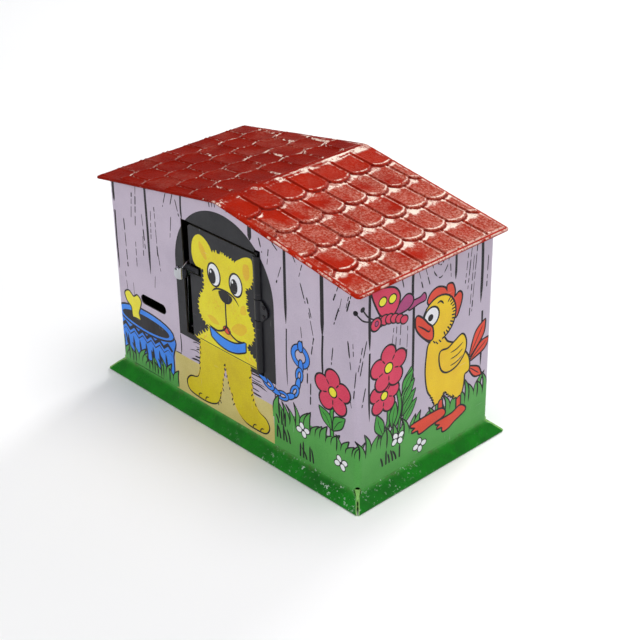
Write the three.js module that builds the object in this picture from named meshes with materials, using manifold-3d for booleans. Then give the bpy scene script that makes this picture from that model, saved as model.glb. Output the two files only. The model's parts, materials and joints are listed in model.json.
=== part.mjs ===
// A tin-litho money bank shaped like a dog kennel: one wrapped wall sheet, a stamped roof,
// a crimped base with a coin trap, a sprung kennel door and a coin-tripped latch lever.
// Millimetres, +Z up. Origin: centre of the house's footprint, on the surface it stands on.
// The front wall, with the door and the coin slot, faces -Y.
import * as THREE from 'three';
import { mergeVertices } from 'three/addons/utils/BufferGeometryUtils.js';
import Module from 'manifold-3d';

const wasm = await Module();
wasm.setup();

// ---- driving dimensions ----
const TIN = 0.8;                 // sheet thickness of every pressed piece
const GAP = 0.3;                 // clearance between neighbouring pieces
const OVER = 1;                  // how far a cutting tool runs past the piece that it cuts
const SKY = 140;                 // a height above the ridge, for tools that cut the walls

const WALL = { halfX: 90, halfY: 46, corner: 3, seamX: -78, seamWidth: 5, seamProud: 0.5 };
const SKIRT = { top: 6.7, out: 6.1, edge: 0.9, hemWidth: 4.5, corner: 2, slit: 0.9,
  reliefRadius: 1.6, overlap: 0.4 };
const ROOF = { eaveZ: 113, ridgeZ: 129.4, halfX: 95.1, halfY: 50.2, hem: 1.9, hemWidth: 3.2,
  courses: 6, courseStep: 0.5 };
const CLEAT = { y: 28, width: 10, reach: 11, drop: 10 };

const OPENING = { left: -31.8, right: 26.5, bottom: 45.5, top: 108.8 };
const DOOR = { left: -25.8, bottom: 46.0, top: 108.0, front: -46.6, notchBottom: 81.8,
  notchTop: 87.0, notchEnd: -17.5 };
const HINGE = { x: 24.4, y: -45.9, rollRadius: 1.7, boreRadius: 1.0, pinRadius: 0.7,
  leafBottom: 74.5, leafTop: 85.5, leafRight: 31.5, pinBottom: 44.6, pinTop: 109.6,
  headRadius: 1.2, reliefHalf: 2.1, reliefBottom: 43.6, reliefTop: 110.6 };
const RIVET = { x: 28.8, zs: [77.6, 82.4], shaft: 0.9, head: 1.2, headThick: 0.5 };

const SLOT = { left: -69.4, right: -48.6, bottom: 48.4, top: 54.0 };
const CHUTE = { left: -71.8, right: -46.2, lipZ: 46.6, backY: -30, backZ: 38.5, topZ: 57,
  topDepth: 8, endHeight: 5, earWidth: 3.6 };

const LEVER = { pivotX: -38, pivotZ: 33, y: -42.4, boss: 4, armLeft: -70, armBottom: 30.2,
  armTop: 35.2, uprightHalf: 3, uprightLean: 1.5, headZ: 76, tabBottom: 78.5, tabTop: 89.2,
  tabLeft: -28.3, tabFront: -50.3,
  curlRadius: 2.5, curlTop: 84.8, noseBottom: 82.4, noseTop: 85.4, noseEnd: -19.5, paddleRight: -48,
  paddleBack: -21, paddleLip: 33 };
const PIVOT = { shaft: 1.3, head: 2.6, frontY: -43.6, backY: -34.2, headThick: 0.7 };
const BRACKET = { left: -44, right: -32, frontY: -40.6, top: 38, footBack: -30, stopTop: 43,
  stopX: -34.3, stopFront: -43,
  rivetXs: [-41, -35], rivetY: -34.5, rivetShaft: 1.2, rivetHead: 2.2 };
const COIL = { radius: 2.5, wire: 0.35, turns: 3, frontY: -38.8, backY: -35.9, leg: 9 };
const DOOR_SPRING = { tin: 0.6, rootEnd: 36, bend: 27.2, behindX: [26.3, 22.2], behind: 1.1,
  tipX: [13, 9], inset: 1.5 };

const BASE = { halfX: 93.0, halfY: 49.0, plateZ: 1.6, upstandX: 88.6, upstandY: 44.6,
  upstandTop: 6, corner: 2.4 };
const TRAP = { left: 5, right: 55, front: -17, back: 17, hingeY: 18.6, hingeZ: 2.0, roll: 1.5,
  bore: 0.9, pin: 0.6, rollLeft: 13.3, rollRight: 46.7, lugLength: 5 };
const LOCK = { x: 30, y: -8, flange: 7.5, barrel: 6, bore: 3.6, plug: 3.3, bottom: 0.4,
  barrelTop: 3.6, camZ: 3.9, camReach: 13, camHalf: 3, plugTop: 5.6, keyWidth: 0.9, keyLength: 4.6 };

// ---- solids from three.js geometry ----
function solid(geometry) {
  const bare = geometry.clone();
  bare.deleteAttribute('normal');
  bare.deleteAttribute('uv');
  const merged = mergeVertices(bare, 1e-4);
  return new wasm.Manifold(new wasm.Mesh({
    numProp: 3,
    vertProperties: new Float32Array(merged.attributes.position.array),
    triVerts: new Uint32Array(merged.index.array),
  }));
}

function toGeometry(body) {
  const mesh = body.getMesh();
  const geometry = new THREE.BufferGeometry();
  geometry.setAttribute('position', new THREE.BufferAttribute(mesh.vertProperties, 3));
  geometry.setIndex(new THREE.BufferAttribute(mesh.triVerts, 1));
  geometry.computeVertexNormals();
  return geometry;
}

function box(x0, x1, y0, y1, z0, z1) {
  const geometry = new THREE.BoxGeometry(x1 - x0, y1 - y0, z1 - z0);
  return solid(geometry.translate((x0 + x1) / 2, (y0 + y1) / 2, (z0 + z1) / 2));
}

const AXES = {
  x: new THREE.Matrix4().makeBasis(new THREE.Vector3(0, 1, 0), new THREE.Vector3(0, 0, 1),
    new THREE.Vector3(1, 0, 0)),
  y: new THREE.Matrix4().makeBasis(new THREE.Vector3(1, 0, 0), new THREE.Vector3(0, 0, 1),
    new THREE.Vector3(0, -1, 0)),
  z: new THREE.Matrix4(),
};

// An outline pushed along one axis, from `from` to `to`. Outlines are (x, y) along z,
// (x, z) along y and (y, z) along x.
function extrude(outline, axis, from, to, curveSegments = 6) {
  const shape = Array.isArray(outline) ? new THREE.Shape(outline.map(([u, v]) => new THREE.Vector2(u, v)))
    : outline;
  const geometry = new THREE.ExtrudeGeometry(shape, { depth: to - from, bevelEnabled: false,
    curveSegments });
  geometry.applyMatrix4(AXES[axis]);
  const start = new THREE.Vector3();
  start[axis] = axis === 'y' ? to : from;
  return solid(geometry.translate(start.x, start.y, start.z));
}

// A round bar along one axis; `at` gives its other two coordinates.
function bar(axis, radius, from, to, at, segments = 20) {
  const geometry = new THREE.CylinderGeometry(radius, radius, to - from, segments);
  if (axis === 'x') geometry.rotateZ(Math.PI / 2);
  if (axis === 'z') geometry.rotateX(Math.PI / 2);
  const centre = new THREE.Vector3(at.x ?? 0, at.y ?? 0, at.z ?? 0);
  centre[axis] = (from + to) / 2;
  return solid(geometry.translate(centre.x, centre.y, centre.z));
}

function join(...bodies) {
  return bodies.reduce((sum, body) => sum.add(body));
}

function cut(body, ...tools) {
  return tools.reduce((rest, tool) => rest.subtract(tool), body);
}

// A headed rivet or pin along one axis: a shaft with a flat head at each end.
function headedPin(axis, shaft, head, headThick, from, to, at) {
  return join(
    bar(axis, shaft, from, to, at),
    bar(axis, head, from, from + headThick, at),
    bar(axis, head, to - headThick, to, at),
  );
}

function roundedRect(halfX, halfY, radius) {
  const shape = new THREE.Shape();
  shape.absarc(halfX - radius, halfY - radius, radius, 0, Math.PI / 2);
  shape.absarc(-halfX + radius, halfY - radius, radius, Math.PI / 2, Math.PI);
  shape.absarc(-halfX + radius, -halfY + radius, radius, Math.PI, Math.PI * 1.5);
  shape.absarc(halfX - radius, -halfY + radius, radius, Math.PI * 1.5, Math.PI * 2);
  return shape;
}

// How far the skirt's outer face stands outside the wall at height z.
const skirtDrop = SKIRT.top - SKIRT.edge;
const skirtAcross = Math.hypot(SKIRT.out, skirtDrop) / skirtDrop;   // level size per square size
const flare = (z) => SKIRT.out * (SKIRT.top - z) / skirtDrop;

// A four-sided block that follows the skirt's slope, `offset` mm outside its outer face.
function skirtBlock(offset, z0, z1) {
  const corners = [];
  for (const z of [z0, z1]) {
    const x = WALL.halfX + flare(z) + offset;
    const y = WALL.halfY + flare(z) + offset;
    corners.push(-x, -y, z, x, -y, z, x, y, z, -x, y, z);
  }
  const faces = [0, 2, 1, 0, 3, 2, 4, 5, 6, 4, 6, 7];
  for (let side = 0; side < 4; side += 1) {
    const next = (side + 1) % 4;
    faces.push(side, next, next + 4, side, next + 4, side + 4);
  }
  const geometry = new THREE.BufferGeometry();
  geometry.setAttribute('position', new THREE.Float32BufferAttribute(corners, 3));
  geometry.setIndex(faces);
  return solid(geometry);
}

// ---- house: walls, skirt and roof ----
const slope = (ROOF.ridgeZ - ROOF.eaveZ) / ROOF.halfX;
const slopeAcross = Math.hypot(1, slope);          // horizontal or vertical size per square size
const roofTop = (x) => ROOF.ridgeZ - slope * Math.abs(x);
const roofUnder = (x) => roofTop(x) - TIN * slopeAcross - ROOF.courseStep;

function gableBlock(topAt, bottomAt, halfX, y0, y1) {
  return extrude([[-halfX, bottomAt(halfX)], [0, bottomAt(0)], [halfX, bottomAt(halfX)],
    [halfX, topAt(halfX)], [0, topAt(0)], [-halfX, topAt(halfX)]], 'y', y0, y1);
}

// The flared foot of the walls: four flanges, each with its edge folded under as a hem, parted
// at every corner by a slit that ends in a round relief.
function skirtFlanges() {
  const { edge, top, hemWidth, reliefRadius } = SKIRT;
  const reach = SKIRT.out * 2;
  const outX = WALL.halfX + SKIRT.out;
  const outY = WALL.halfY + SKIRT.out;
  const slopes = skirtBlock(0, edge, top + SKIRT.overlap)
    .subtract(skirtBlock(-TIN * skirtAcross, edge - OVER, top + OVER));
  const hem = skirtBlock(0, -OVER, edge + SKIRT.overlap)
    .subtract(box(-outX + hemWidth, outX - hemWidth, -outY + hemWidth, outY - hemWidth, -OVER, top));
  const trim = extrude(roundedRect(outX, outY, SKIRT.corner), 'z', 0, top + OVER);
  const notches = [[1, 1], [-1, 1], [-1, -1], [1, -1]].map(([sx, sy]) => {
    const slit = new THREE.BoxGeometry(reach, SKIRT.slit, top * 2).translate(reach / 2, 0, 0);
    const relief = new THREE.CylinderGeometry(reliefRadius, reliefRadius, reach, 20)
      .rotateZ(Math.PI / 2).translate(reach / 2 - OVER, 0, top - reliefRadius);
    return join(...[slit, relief].map((tool) => solid(tool.rotateZ(Math.atan2(sy, sx))
      .translate(sx * WALL.halfX, sy * WALL.halfY, 0))));
  });
  return cut(join(slopes, hem).intersect(trim), ...notches);
}

function houseWalls() {
  const bottom = SKIRT.top - SKIRT.overlap;
  const shell = extrude(roundedRect(WALL.halfX, WALL.halfY, WALL.corner), 'z', bottom, SKY)
    .subtract(extrude(roundedRect(WALL.halfX - TIN, WALL.halfY - TIN, WALL.corner - TIN), 'z',
      bottom - OVER, SKY + OVER));
  const seam = box(WALL.seamX, WALL.seamX + WALL.seamWidth, WALL.halfY - TIN / 2,
    WALL.halfY + WALL.seamProud, SKIRT.top, SKY);
  const underRoof = gableBlock((x) => roofUnder(x) - GAP, () => 0, ROOF.halfX, -ROOF.halfY,
    ROOF.halfY);
  const front = [-WALL.halfY - OVER, -WALL.halfY + TIN + OVER];
  const doorway = box(OPENING.left, OPENING.right, ...front, OPENING.bottom, OPENING.top);
  const hingeRelief = box(HINGE.x - HINGE.reliefHalf, OPENING.right, ...front,
    HINGE.reliefBottom, HINGE.reliefTop);
  const slotRadius = (SLOT.top - SLOT.bottom) / 2;
  const slotZ = (SLOT.top + SLOT.bottom) / 2;
  const slot = join(
    box(SLOT.left + slotRadius, SLOT.right - slotRadius, ...front, SLOT.bottom, SLOT.top),
    bar('y', slotRadius, ...front, { x: SLOT.left + slotRadius, z: slotZ }),
    bar('y', slotRadius, ...front, { x: SLOT.right - slotRadius, z: slotZ }),
  );
  const walls = shell.add(seam).intersect(underRoof);
  return cut(walls, doorway, hingeRelief, slot, ...rivetHoles(...front)).add(skirtFlanges());
}

function roofSheet() {
  const run = ROOF.halfX / ROOF.courses;
  const half = [];
  for (let course = 0; course < ROOF.courses; course += 1) {
    const x = course * run;
    half.push([x, roofTop(x) - (course === 0 ? 0 : ROOF.courseStep)]);
    half.push([x + run, roofTop(x + run)]);
  }
  const left = half.slice(1).reverse().map(([x, z]) => [-x, z]);
  const under = [[ROOF.halfX, roofUnder(ROOF.halfX)], [0, roofUnder(0)],
    [-ROOF.halfX, roofUnder(ROOF.halfX)]];
  const sheet = extrude([...left, ...half, ...under], 'y', -ROOF.halfY, ROOF.halfY);
  const hemUnder = (x) => roofTop(x) - ROOF.hem * slopeAcross;
  const hemTop = (x) => roofTop(x) - ROOF.courseStep - TIN / 2;
  const hems = [[-ROOF.halfY, -ROOF.halfY + ROOF.hemWidth], [ROOF.halfY - ROOF.hemWidth, ROOF.halfY]]
    .map(([y0, y1]) => gableBlock(hemTop, hemUnder, ROOF.halfX, y0, y1));
  const inner = ROOF.halfX - ROOF.hemWidth;
  const eaves = [1, -1].map((side) => {
    const outline = [[side * inner, hemTop(inner)], [side * inner, hemUnder(inner)],
      [side * ROOF.halfX, hemUnder(ROOF.halfX)], [side * ROOF.halfX, hemTop(ROOF.halfX)]];
    return extrude(side > 0 ? outline : outline.reverse(), 'y', -ROOF.halfY, ROOF.halfY);
  });
  return join(sheet, ...hems, ...eaves);
}

// A bent clip inside a side wall that ties the roof's underside to it.
function roofCleat(side, y) {
  const under = (x) => roofUnder(x) - GAP;
  const outer = WALL.halfX - TIN - GAP;
  const outline = [[outer, under(outer) - CLEAT.drop], [outer, under(outer)],
    [outer - CLEAT.reach, under(outer - CLEAT.reach)],
    [outer - CLEAT.reach, under(outer - CLEAT.reach) - TIN],
    [outer - TIN, under(outer - TIN) - TIN], [outer - TIN, under(outer) - CLEAT.drop]];
  const placed = outline.map(([x, z]) => [side * x, z]);
  return extrude(side > 0 ? placed : placed.reverse(), 'y', y - CLEAT.width / 2, y + CLEAT.width / 2);
}

// ---- kennel door and its hinge ----
function hingeRoll(z0, z1) {
  const at = { x: HINGE.x, y: HINGE.y };
  const bore = bar('z', HINGE.boreRadius, z0 - OVER, z1 + OVER, at);
  return bar('z', HINGE.rollRadius, z0, z1, at).subtract(bore);
}

function doorPlate() {
  const back = DOOR.front + TIN;
  const plateRight = HINGE.x - (HINGE.rollRadius + HINGE.boreRadius) / 2;
  const plate = box(DOOR.left, plateRight, DOOR.front, back, DOOR.bottom, DOOR.top);
  const notch = box(DOOR.left - OVER, DOOR.notchEnd, DOOR.front - OVER, back + OVER,
    DOOR.notchBottom, DOOR.notchTop);
  const clear = HINGE.rollRadius + GAP;
  const leafGap = box(HINGE.x - clear, HINGE.x + clear, HINGE.y - clear, HINGE.y + clear,
    HINGE.leafBottom - GAP, HINGE.leafTop + GAP);
  return cut(plate.add(hingeRoll(DOOR.bottom, DOOR.top)), notch, leafGap);
}

function rivetHoles(y0, y1) {
  return RIVET.zs.map((z) => bar('y', RIVET.shaft + GAP, y0 - OVER, y1 + OVER, { x: RIVET.x, z }));
}

function hingeLeaf() {
  const front = -WALL.halfY - GAP - TIN;
  const radius = (HINGE.leafTop - HINGE.leafBottom) / 2;
  const middle = (HINGE.leafTop + HINGE.leafBottom) / 2;
  const round = HINGE.leafRight - radius;
  const lobe = join(
    box(HINGE.x, round, front, front + TIN, HINGE.leafBottom, HINGE.leafTop),
    bar('y', radius, front, front + TIN, { x: round, z: middle }, 28),
  );
  const bore = bar('z', HINGE.boreRadius, 0, SKY, { x: HINGE.x, y: HINGE.y });
  const doorSide = box(HINGE.x - radius, HINGE.x, front - OVER, front + TIN + OVER,
    HINGE.leafBottom - OVER, HINGE.leafTop + OVER);
  const roll = hingeRoll(HINGE.leafBottom, HINGE.leafTop);
  return cut(cut(lobe, doorSide).add(roll), bore, ...rivetHoles(front, front + TIN));
}

const insideFront = -WALL.halfY + TIN + GAP;       // just behind the front wall's inner face

// A leaf spring: its root is riveted behind the wall, it passes behind the hinge's knuckle
// and its tip bears on the door's back.
function doorSpring() {
  const behind = insideFront + DOOR_SPRING.behind;
  const tipY = DOOR.front + TIN + GAP;
  const front = [[DOOR_SPRING.rootEnd, insideFront], [DOOR_SPRING.bend, insideFront],
    ...DOOR_SPRING.behindX.map((x) => [x, behind]), ...DOOR_SPRING.tipX.map((x) => [x, tipY])];
  const back = front.map(([x, y]) => [x, y + DOOR_SPRING.tin]).reverse();
  const strip = extrude([...front, ...back].reverse(), 'z', HINGE.leafBottom + DOOR_SPRING.inset,
    HINGE.leafTop - DOOR_SPRING.inset);
  return cut(strip, ...rivetHoles(insideFront, insideFront + DOOR_SPRING.tin));
}

function hingeRivet(z) {
  const outside = -WALL.halfY - GAP * 2 - TIN - RIVET.headThick;
  return headedPin('y', RIVET.shaft, RIVET.head, RIVET.headThick, outside,
    insideFront + DOOR_SPRING.tin + GAP + RIVET.headThick, { x: RIVET.x, z });
}

// ---- coin chute, latch lever and its bracket ----
// A trough that slopes inwards from under the slot, with cheeks and an ear on each side that
// lies against the wall.
function coinChute() {
  const floorOutline = [[insideFront, CHUTE.lipZ], [CHUTE.backY, CHUTE.backZ],
    [CHUTE.backY, CHUTE.backZ + TIN], [insideFront, CHUTE.lipZ + TIN]];
  const cheekOutline = [[insideFront, CHUTE.lipZ], [CHUTE.backY, CHUTE.backZ],
    [CHUTE.backY, CHUTE.backZ + CHUTE.endHeight],
    [insideFront + CHUTE.topDepth, CHUTE.topZ], [insideFront, CHUTE.topZ]];
  const outerLeft = CHUTE.left - TIN;
  const outerRight = CHUTE.right + TIN;
  const ears = [[outerLeft - CHUTE.earWidth, CHUTE.left], [CHUTE.right, outerRight + CHUTE.earWidth]];
  return join(
    extrude(floorOutline, 'x', outerLeft, outerRight),
    extrude(cheekOutline, 'x', outerLeft, CHUTE.left),
    extrude(cheekOutline, 'x', CHUTE.right, outerRight),
    ...ears.map(([x0, x1]) => box(x0, x1, insideFront, insideFront + TIN, CHUTE.lipZ + TIN,
      CHUTE.topZ)),
  );
}

// One bent plate: an arm and coin paddle to the left, an upright, and at its head a tab that
// comes forwards beside the door, with a nose in the door's notch and a curled tip.
function latchLever() {
  const y0 = LEVER.y;
  const y1 = LEVER.y + TIN;
  const at = { x: LEVER.pivotX, z: LEVER.pivotZ };
  const headLeft = LEVER.pivotX - LEVER.uprightHalf + LEVER.uprightLean;
  const headRight = LEVER.pivotX + LEVER.uprightHalf + LEVER.uprightLean;
  const upright = extrude([[LEVER.pivotX - LEVER.uprightHalf, LEVER.pivotZ],
    [LEVER.pivotX + LEVER.uprightHalf, LEVER.pivotZ], [headRight, LEVER.tabBottom],
    [headLeft, LEVER.tabBottom]], 'y', y0, y1);
  const tabRight = LEVER.tabLeft + TIN;
  const curlX = tabRight - LEVER.curlRadius;
  const curlStart = -Math.PI * 1.25;
  const curl = new THREE.Shape();
  curl.absarc(curlX, LEVER.tabFront, LEVER.curlRadius, curlStart, 0);
  curl.absarc(curlX, LEVER.tabFront, LEVER.curlRadius - TIN, 0, curlStart, true);
  const paddleTop = LEVER.armBottom + TIN;
  const plate = join(
    bar('y', LEVER.boss, y0, y1, at, 24),
    box(LEVER.armLeft, LEVER.pivotX, y0, y1, LEVER.armBottom, LEVER.armTop),
    upright,
    box(headLeft, tabRight, y0, y1, LEVER.headZ, LEVER.tabTop),
    extrude([[LEVER.tabFront, LEVER.tabBottom], [y1, LEVER.tabBottom], [y1, LEVER.tabTop],
      [y0, LEVER.tabTop], [LEVER.tabFront, LEVER.curlTop]], 'x', LEVER.tabLeft, tabRight),
    extrude(curl, 'z', LEVER.tabBottom, LEVER.curlTop, 14),
    box(LEVER.tabLeft, LEVER.noseEnd, DOOR.front, DOOR.front + TIN, LEVER.noseBottom,
      LEVER.noseTop),
    box(LEVER.armLeft, LEVER.paddleRight, y0, LEVER.paddleBack, LEVER.armBottom, paddleTop),
    box(LEVER.armLeft, LEVER.paddleRight, LEVER.paddleBack - TIN, LEVER.paddleBack,
      LEVER.armBottom, LEVER.paddleLip),
  );
  return plate.subtract(bar('y', PIVOT.shaft + GAP, y0 - OVER, y1 + OVER, at));
}

function leverPivot() {
  return headedPin('y', PIVOT.shaft, PIVOT.head, PIVOT.headThick, PIVOT.frontY, PIVOT.backY,
    { x: LEVER.pivotX, z: LEVER.pivotZ });
}

const footZ = BASE.plateZ + TIN + GAP;

function footHoles() {
  return BRACKET.rivetXs.map((x) => bar('z', BRACKET.rivetShaft + GAP, 0, footZ + TIN + OVER,
    { x, y: BRACKET.rivetY }));
}

// An angle bracket on the base, with an ear that stops the lever's upright.
function leverBracket() {
  const backY = BRACKET.frontY + TIN;
  const stopRight = BRACKET.stopX + TIN;
  const upright = join(
    box(BRACKET.left, BRACKET.right, BRACKET.frontY, backY, footZ, BRACKET.top),
    box(LEVER.pivotX, stopRight, BRACKET.frontY, backY, BRACKET.top - OVER, BRACKET.stopTop),
    box(BRACKET.stopX, stopRight, BRACKET.stopFront, backY, BRACKET.top, BRACKET.stopTop),
    box(BRACKET.left, BRACKET.right, BRACKET.frontY, BRACKET.footBack, footZ, footZ + TIN),
  );
  const pivotHole = bar('y', PIVOT.shaft + GAP, BRACKET.frontY - OVER, backY + OVER,
    { x: LEVER.pivotX, z: LEVER.pivotZ });
  return cut(upright, pivotHole, ...footHoles());
}

function bracketRivet(x) {
  const headThick = 0.6;
  return headedPin('z', BRACKET.rivetShaft, BRACKET.rivetHead, headThick,
    BASE.plateZ - GAP - headThick, footZ + TIN + GAP + headThick, { x, y: BRACKET.rivetY });
}

class CoilPath extends THREE.Curve {
  getPoint(t, target = new THREE.Vector3()) {
    const angle = -Math.PI / 2 + t * COIL.turns * Math.PI * 2;
    return target.set(LEVER.pivotX + COIL.radius * Math.cos(angle),
      COIL.frontY + t * (COIL.backY - COIL.frontY), LEVER.pivotZ + COIL.radius * Math.sin(angle));
  }
}

function leverSpring() {
  const sides = 6;
  const section = new THREE.Shape();
  section.absarc(0, 0, COIL.wire, 0, Math.PI * 2);
  const path = new CoilPath();
  const coil = new THREE.ExtrudeGeometry(section, { extrudePath: path, steps: COIL.turns * 14,
    curveSegments: sides, bevelEnabled: false });
  const legs = [0, 1].map((end) => {
    const at = path.getPoint(end);
    const z0 = end === 0 ? at.z - COIL.leg : at.z - COIL.leg / 2;
    return bar('z', COIL.wire, z0, at.z + 0.2, { x: at.x, y: at.y }, 8);
  });
  return join(solid(coil), ...legs);
}

// ---- base plate, coin trap and lock ----
// A flat sheet over the skirt's hem, with an upstand all round just inside the walls.
function basePlate() {
  const { halfX, halfY, plateZ, upstandX, upstandY, upstandTop, corner } = BASE;
  const top = plateZ + TIN;
  const sheet = box(-halfX, halfX, -halfY, halfY, plateZ, top);
  const upstand = extrude(roundedRect(upstandX, upstandY, corner), 'z', plateZ, upstandTop)
    .subtract(extrude(roundedRect(upstandX - TIN, upstandY - TIN, corner - TIN), 'z', 0, SKY));
  const trapHole = box(TRAP.left - GAP, TRAP.right + GAP, TRAP.front - GAP, TRAP.back + GAP, 0,
    top + OVER);
  const lugLeft = TRAP.rollLeft - GAP - TRAP.lugLength;
  const lugRight = TRAP.rollRight + GAP + TRAP.lugLength;
  const lugBack = TRAP.hingeY + TRAP.roll + GAP;
  const rollHole = box(lugLeft - GAP, lugRight + GAP, TRAP.front, lugBack, 0, top + OVER);
  const at = { y: TRAP.hingeY, z: TRAP.hingeZ };
  const lugs = [[lugLeft, TRAP.rollLeft - GAP], [TRAP.rollRight + GAP, lugRight]].map(([x0, x1]) =>
    join(bar('x', TRAP.roll, x0, x1, at),
      box(x0, x1, TRAP.hingeY, lugBack + OVER, plateZ, top)));
  const bore = bar('x', TRAP.bore, lugLeft - OVER, lugRight + OVER, at);
  return cut(join(sheet, upstand), trapHole, rollHole, ...footHoles())
    .add(join(...lugs)).subtract(bore);
}

function trapDoor() {
  const at = { y: TRAP.hingeY, z: TRAP.hingeZ };
  const reach = TRAP.hingeY - (TRAP.roll + TRAP.bore) / 2;
  const plate = join(
    box(TRAP.left, TRAP.right, TRAP.front, TRAP.back, BASE.plateZ, BASE.plateZ + TIN),
    box(TRAP.rollLeft, TRAP.rollRight, TRAP.back - OVER, reach, BASE.plateZ, BASE.plateZ + TIN),
    bar('x', TRAP.roll, TRAP.rollLeft, TRAP.rollRight, at),
  );
  return cut(plate, bar('x', TRAP.bore, TRAP.rollLeft - OVER, TRAP.rollRight + OVER, at),
    bar('z', LOCK.barrel + GAP, 0, BASE.plateZ + TIN + OVER, LOCK, 28));
}

function trapPin() {
  const end = TRAP.lugLength + GAP;
  return bar('x', TRAP.pin, TRAP.rollLeft - end, TRAP.rollRight + end,
    { y: TRAP.hingeY, z: TRAP.hingeZ }, 14);
}

function lockBody() {
  const body = join(
    bar('z', LOCK.flange, LOCK.bottom, BASE.plateZ - GAP, LOCK, 32),
    bar('z', LOCK.barrel, LOCK.bottom, LOCK.barrelTop, LOCK, 32),
  );
  return body.subtract(bar('z', LOCK.bore, 0, LOCK.barrelTop + OVER, LOCK, 24));
}

function lockPlug() {
  const plug = join(
    bar('z', LOCK.plug, LOCK.bottom, LOCK.camZ - GAP, LOCK, 24),
    bar('z', LOCK.plug / 2, LOCK.bottom, LOCK.plugTop, LOCK, 16),
  );
  return plug.subtract(box(LOCK.x - LOCK.keyLength / 2, LOCK.x + LOCK.keyLength / 2,
    LOCK.y - LOCK.keyWidth / 2, LOCK.y + LOCK.keyWidth / 2, 0, LOCK.barrelTop - OVER));
}

function lockCam() {
  const camTop = LOCK.camZ + TIN;
  const tip = LOCK.x + LOCK.camReach - LOCK.camHalf;
  const arm = join(
    bar('z', LOCK.plug, LOCK.camZ, camTop, LOCK, 24),
    box(LOCK.x, tip, LOCK.y - LOCK.camHalf, LOCK.y + LOCK.camHalf, LOCK.camZ, camTop),
    bar('z', LOCK.camHalf, LOCK.camZ, camTop, { x: tip, y: LOCK.y }),
  );
  return arm.subtract(bar('z', LOCK.plug / 2 + GAP, LOCK.camZ - OVER, camTop + OVER, LOCK, 16));
}

// ---- materials and the assembled bank ----
function paint(color, roughness, metalness) {
  return () => new THREE.MeshStandardMaterial({ color, roughness, metalness });
}

const lilacPrint = paint('#bfb3c6', 0.4, 0.1);
const redPrint = paint('#b3261a', 0.35, 0.1);
const greenPrint = paint('#1a701a', 0.3, 0.1);
const blackPrint = paint('#3f3f47', 0.4, 0.1);
const brightTin = paint('#c8ccd0', 0.2, 1.0);
const springSteel = paint('#8f9298', 0.35, 1.0);
const brass = paint('#b89a55', 0.3, 1.0);

const bank = new THREE.Group();

function addPart(name, body, material) {
  const mesh = new THREE.Mesh(toGeometry(body), material());
  mesh.name = name;
  bank.add(mesh);
}

addPart('house_walls', houseWalls(), lilacPrint);
addPart('roof_sheet', roofSheet(), redPrint);
for (const [name, side, y] of [['front_left', -1, -1], ['front_right', 1, -1],
  ['back_left', -1, 1], ['back_right', 1, 1]]) {
  addPart(`roof_cleat_${name}`, roofCleat(side, y * CLEAT.y), brightTin);
}
addPart('base_plate', basePlate(), greenPrint);

addPart('door_plate', doorPlate(), blackPrint);
addPart('hinge_leaf', hingeLeaf(), blackPrint);
addPart('hinge_pin', headedPin('z', HINGE.pinRadius, HINGE.headRadius, 0.6, HINGE.pinBottom,
  HINGE.pinTop, { x: HINGE.x, y: HINGE.y }), brightTin);
addPart('hinge_rivet_lower', hingeRivet(RIVET.zs[0]), blackPrint);
addPart('hinge_rivet_upper', hingeRivet(RIVET.zs[1]), blackPrint);
addPart('door_spring', doorSpring(), springSteel);

addPart('coin_chute', coinChute(), brightTin);
addPart('latch_lever', latchLever(), brightTin);
addPart('lever_pivot', leverPivot(), brightTin);
addPart('lever_spring', leverSpring(), springSteel);
addPart('lever_bracket', leverBracket(), brightTin);
addPart('bracket_rivet_left', bracketRivet(BRACKET.rivetXs[0]), brightTin);
addPart('bracket_rivet_right', bracketRivet(BRACKET.rivetXs[1]), brightTin);

addPart('trap_door', trapDoor(), greenPrint);
addPart('trap_pin', trapPin(), brightTin);
addPart('lock_body', lockBody(), brass);
addPart('lock_plug', lockPlug(), brass);
addPart('lock_cam', lockCam(), springSteel);

export default bank;
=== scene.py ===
"""A tin-litho dog-kennel money bank: its looks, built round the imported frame. Metres, +Z up."""
import json
import math
import random

import bpy
import numpy as np
from mathutils import Euler, Matrix, Vector, noise
from mathutils.geometry import delaunay_2d_cdt


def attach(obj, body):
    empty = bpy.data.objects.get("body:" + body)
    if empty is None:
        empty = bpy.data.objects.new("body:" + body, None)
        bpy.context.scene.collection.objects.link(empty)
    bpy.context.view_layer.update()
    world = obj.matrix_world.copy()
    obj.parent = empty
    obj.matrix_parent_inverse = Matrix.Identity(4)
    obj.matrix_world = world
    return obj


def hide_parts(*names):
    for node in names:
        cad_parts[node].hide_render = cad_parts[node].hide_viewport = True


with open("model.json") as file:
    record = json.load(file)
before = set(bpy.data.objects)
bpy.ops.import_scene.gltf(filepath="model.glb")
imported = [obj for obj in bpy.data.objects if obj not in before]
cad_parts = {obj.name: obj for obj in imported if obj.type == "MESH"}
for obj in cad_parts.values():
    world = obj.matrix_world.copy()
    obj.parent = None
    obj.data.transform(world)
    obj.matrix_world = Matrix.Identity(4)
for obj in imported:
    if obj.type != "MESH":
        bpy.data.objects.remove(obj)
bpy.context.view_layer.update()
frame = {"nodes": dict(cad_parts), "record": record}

MM = 0.001

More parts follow.
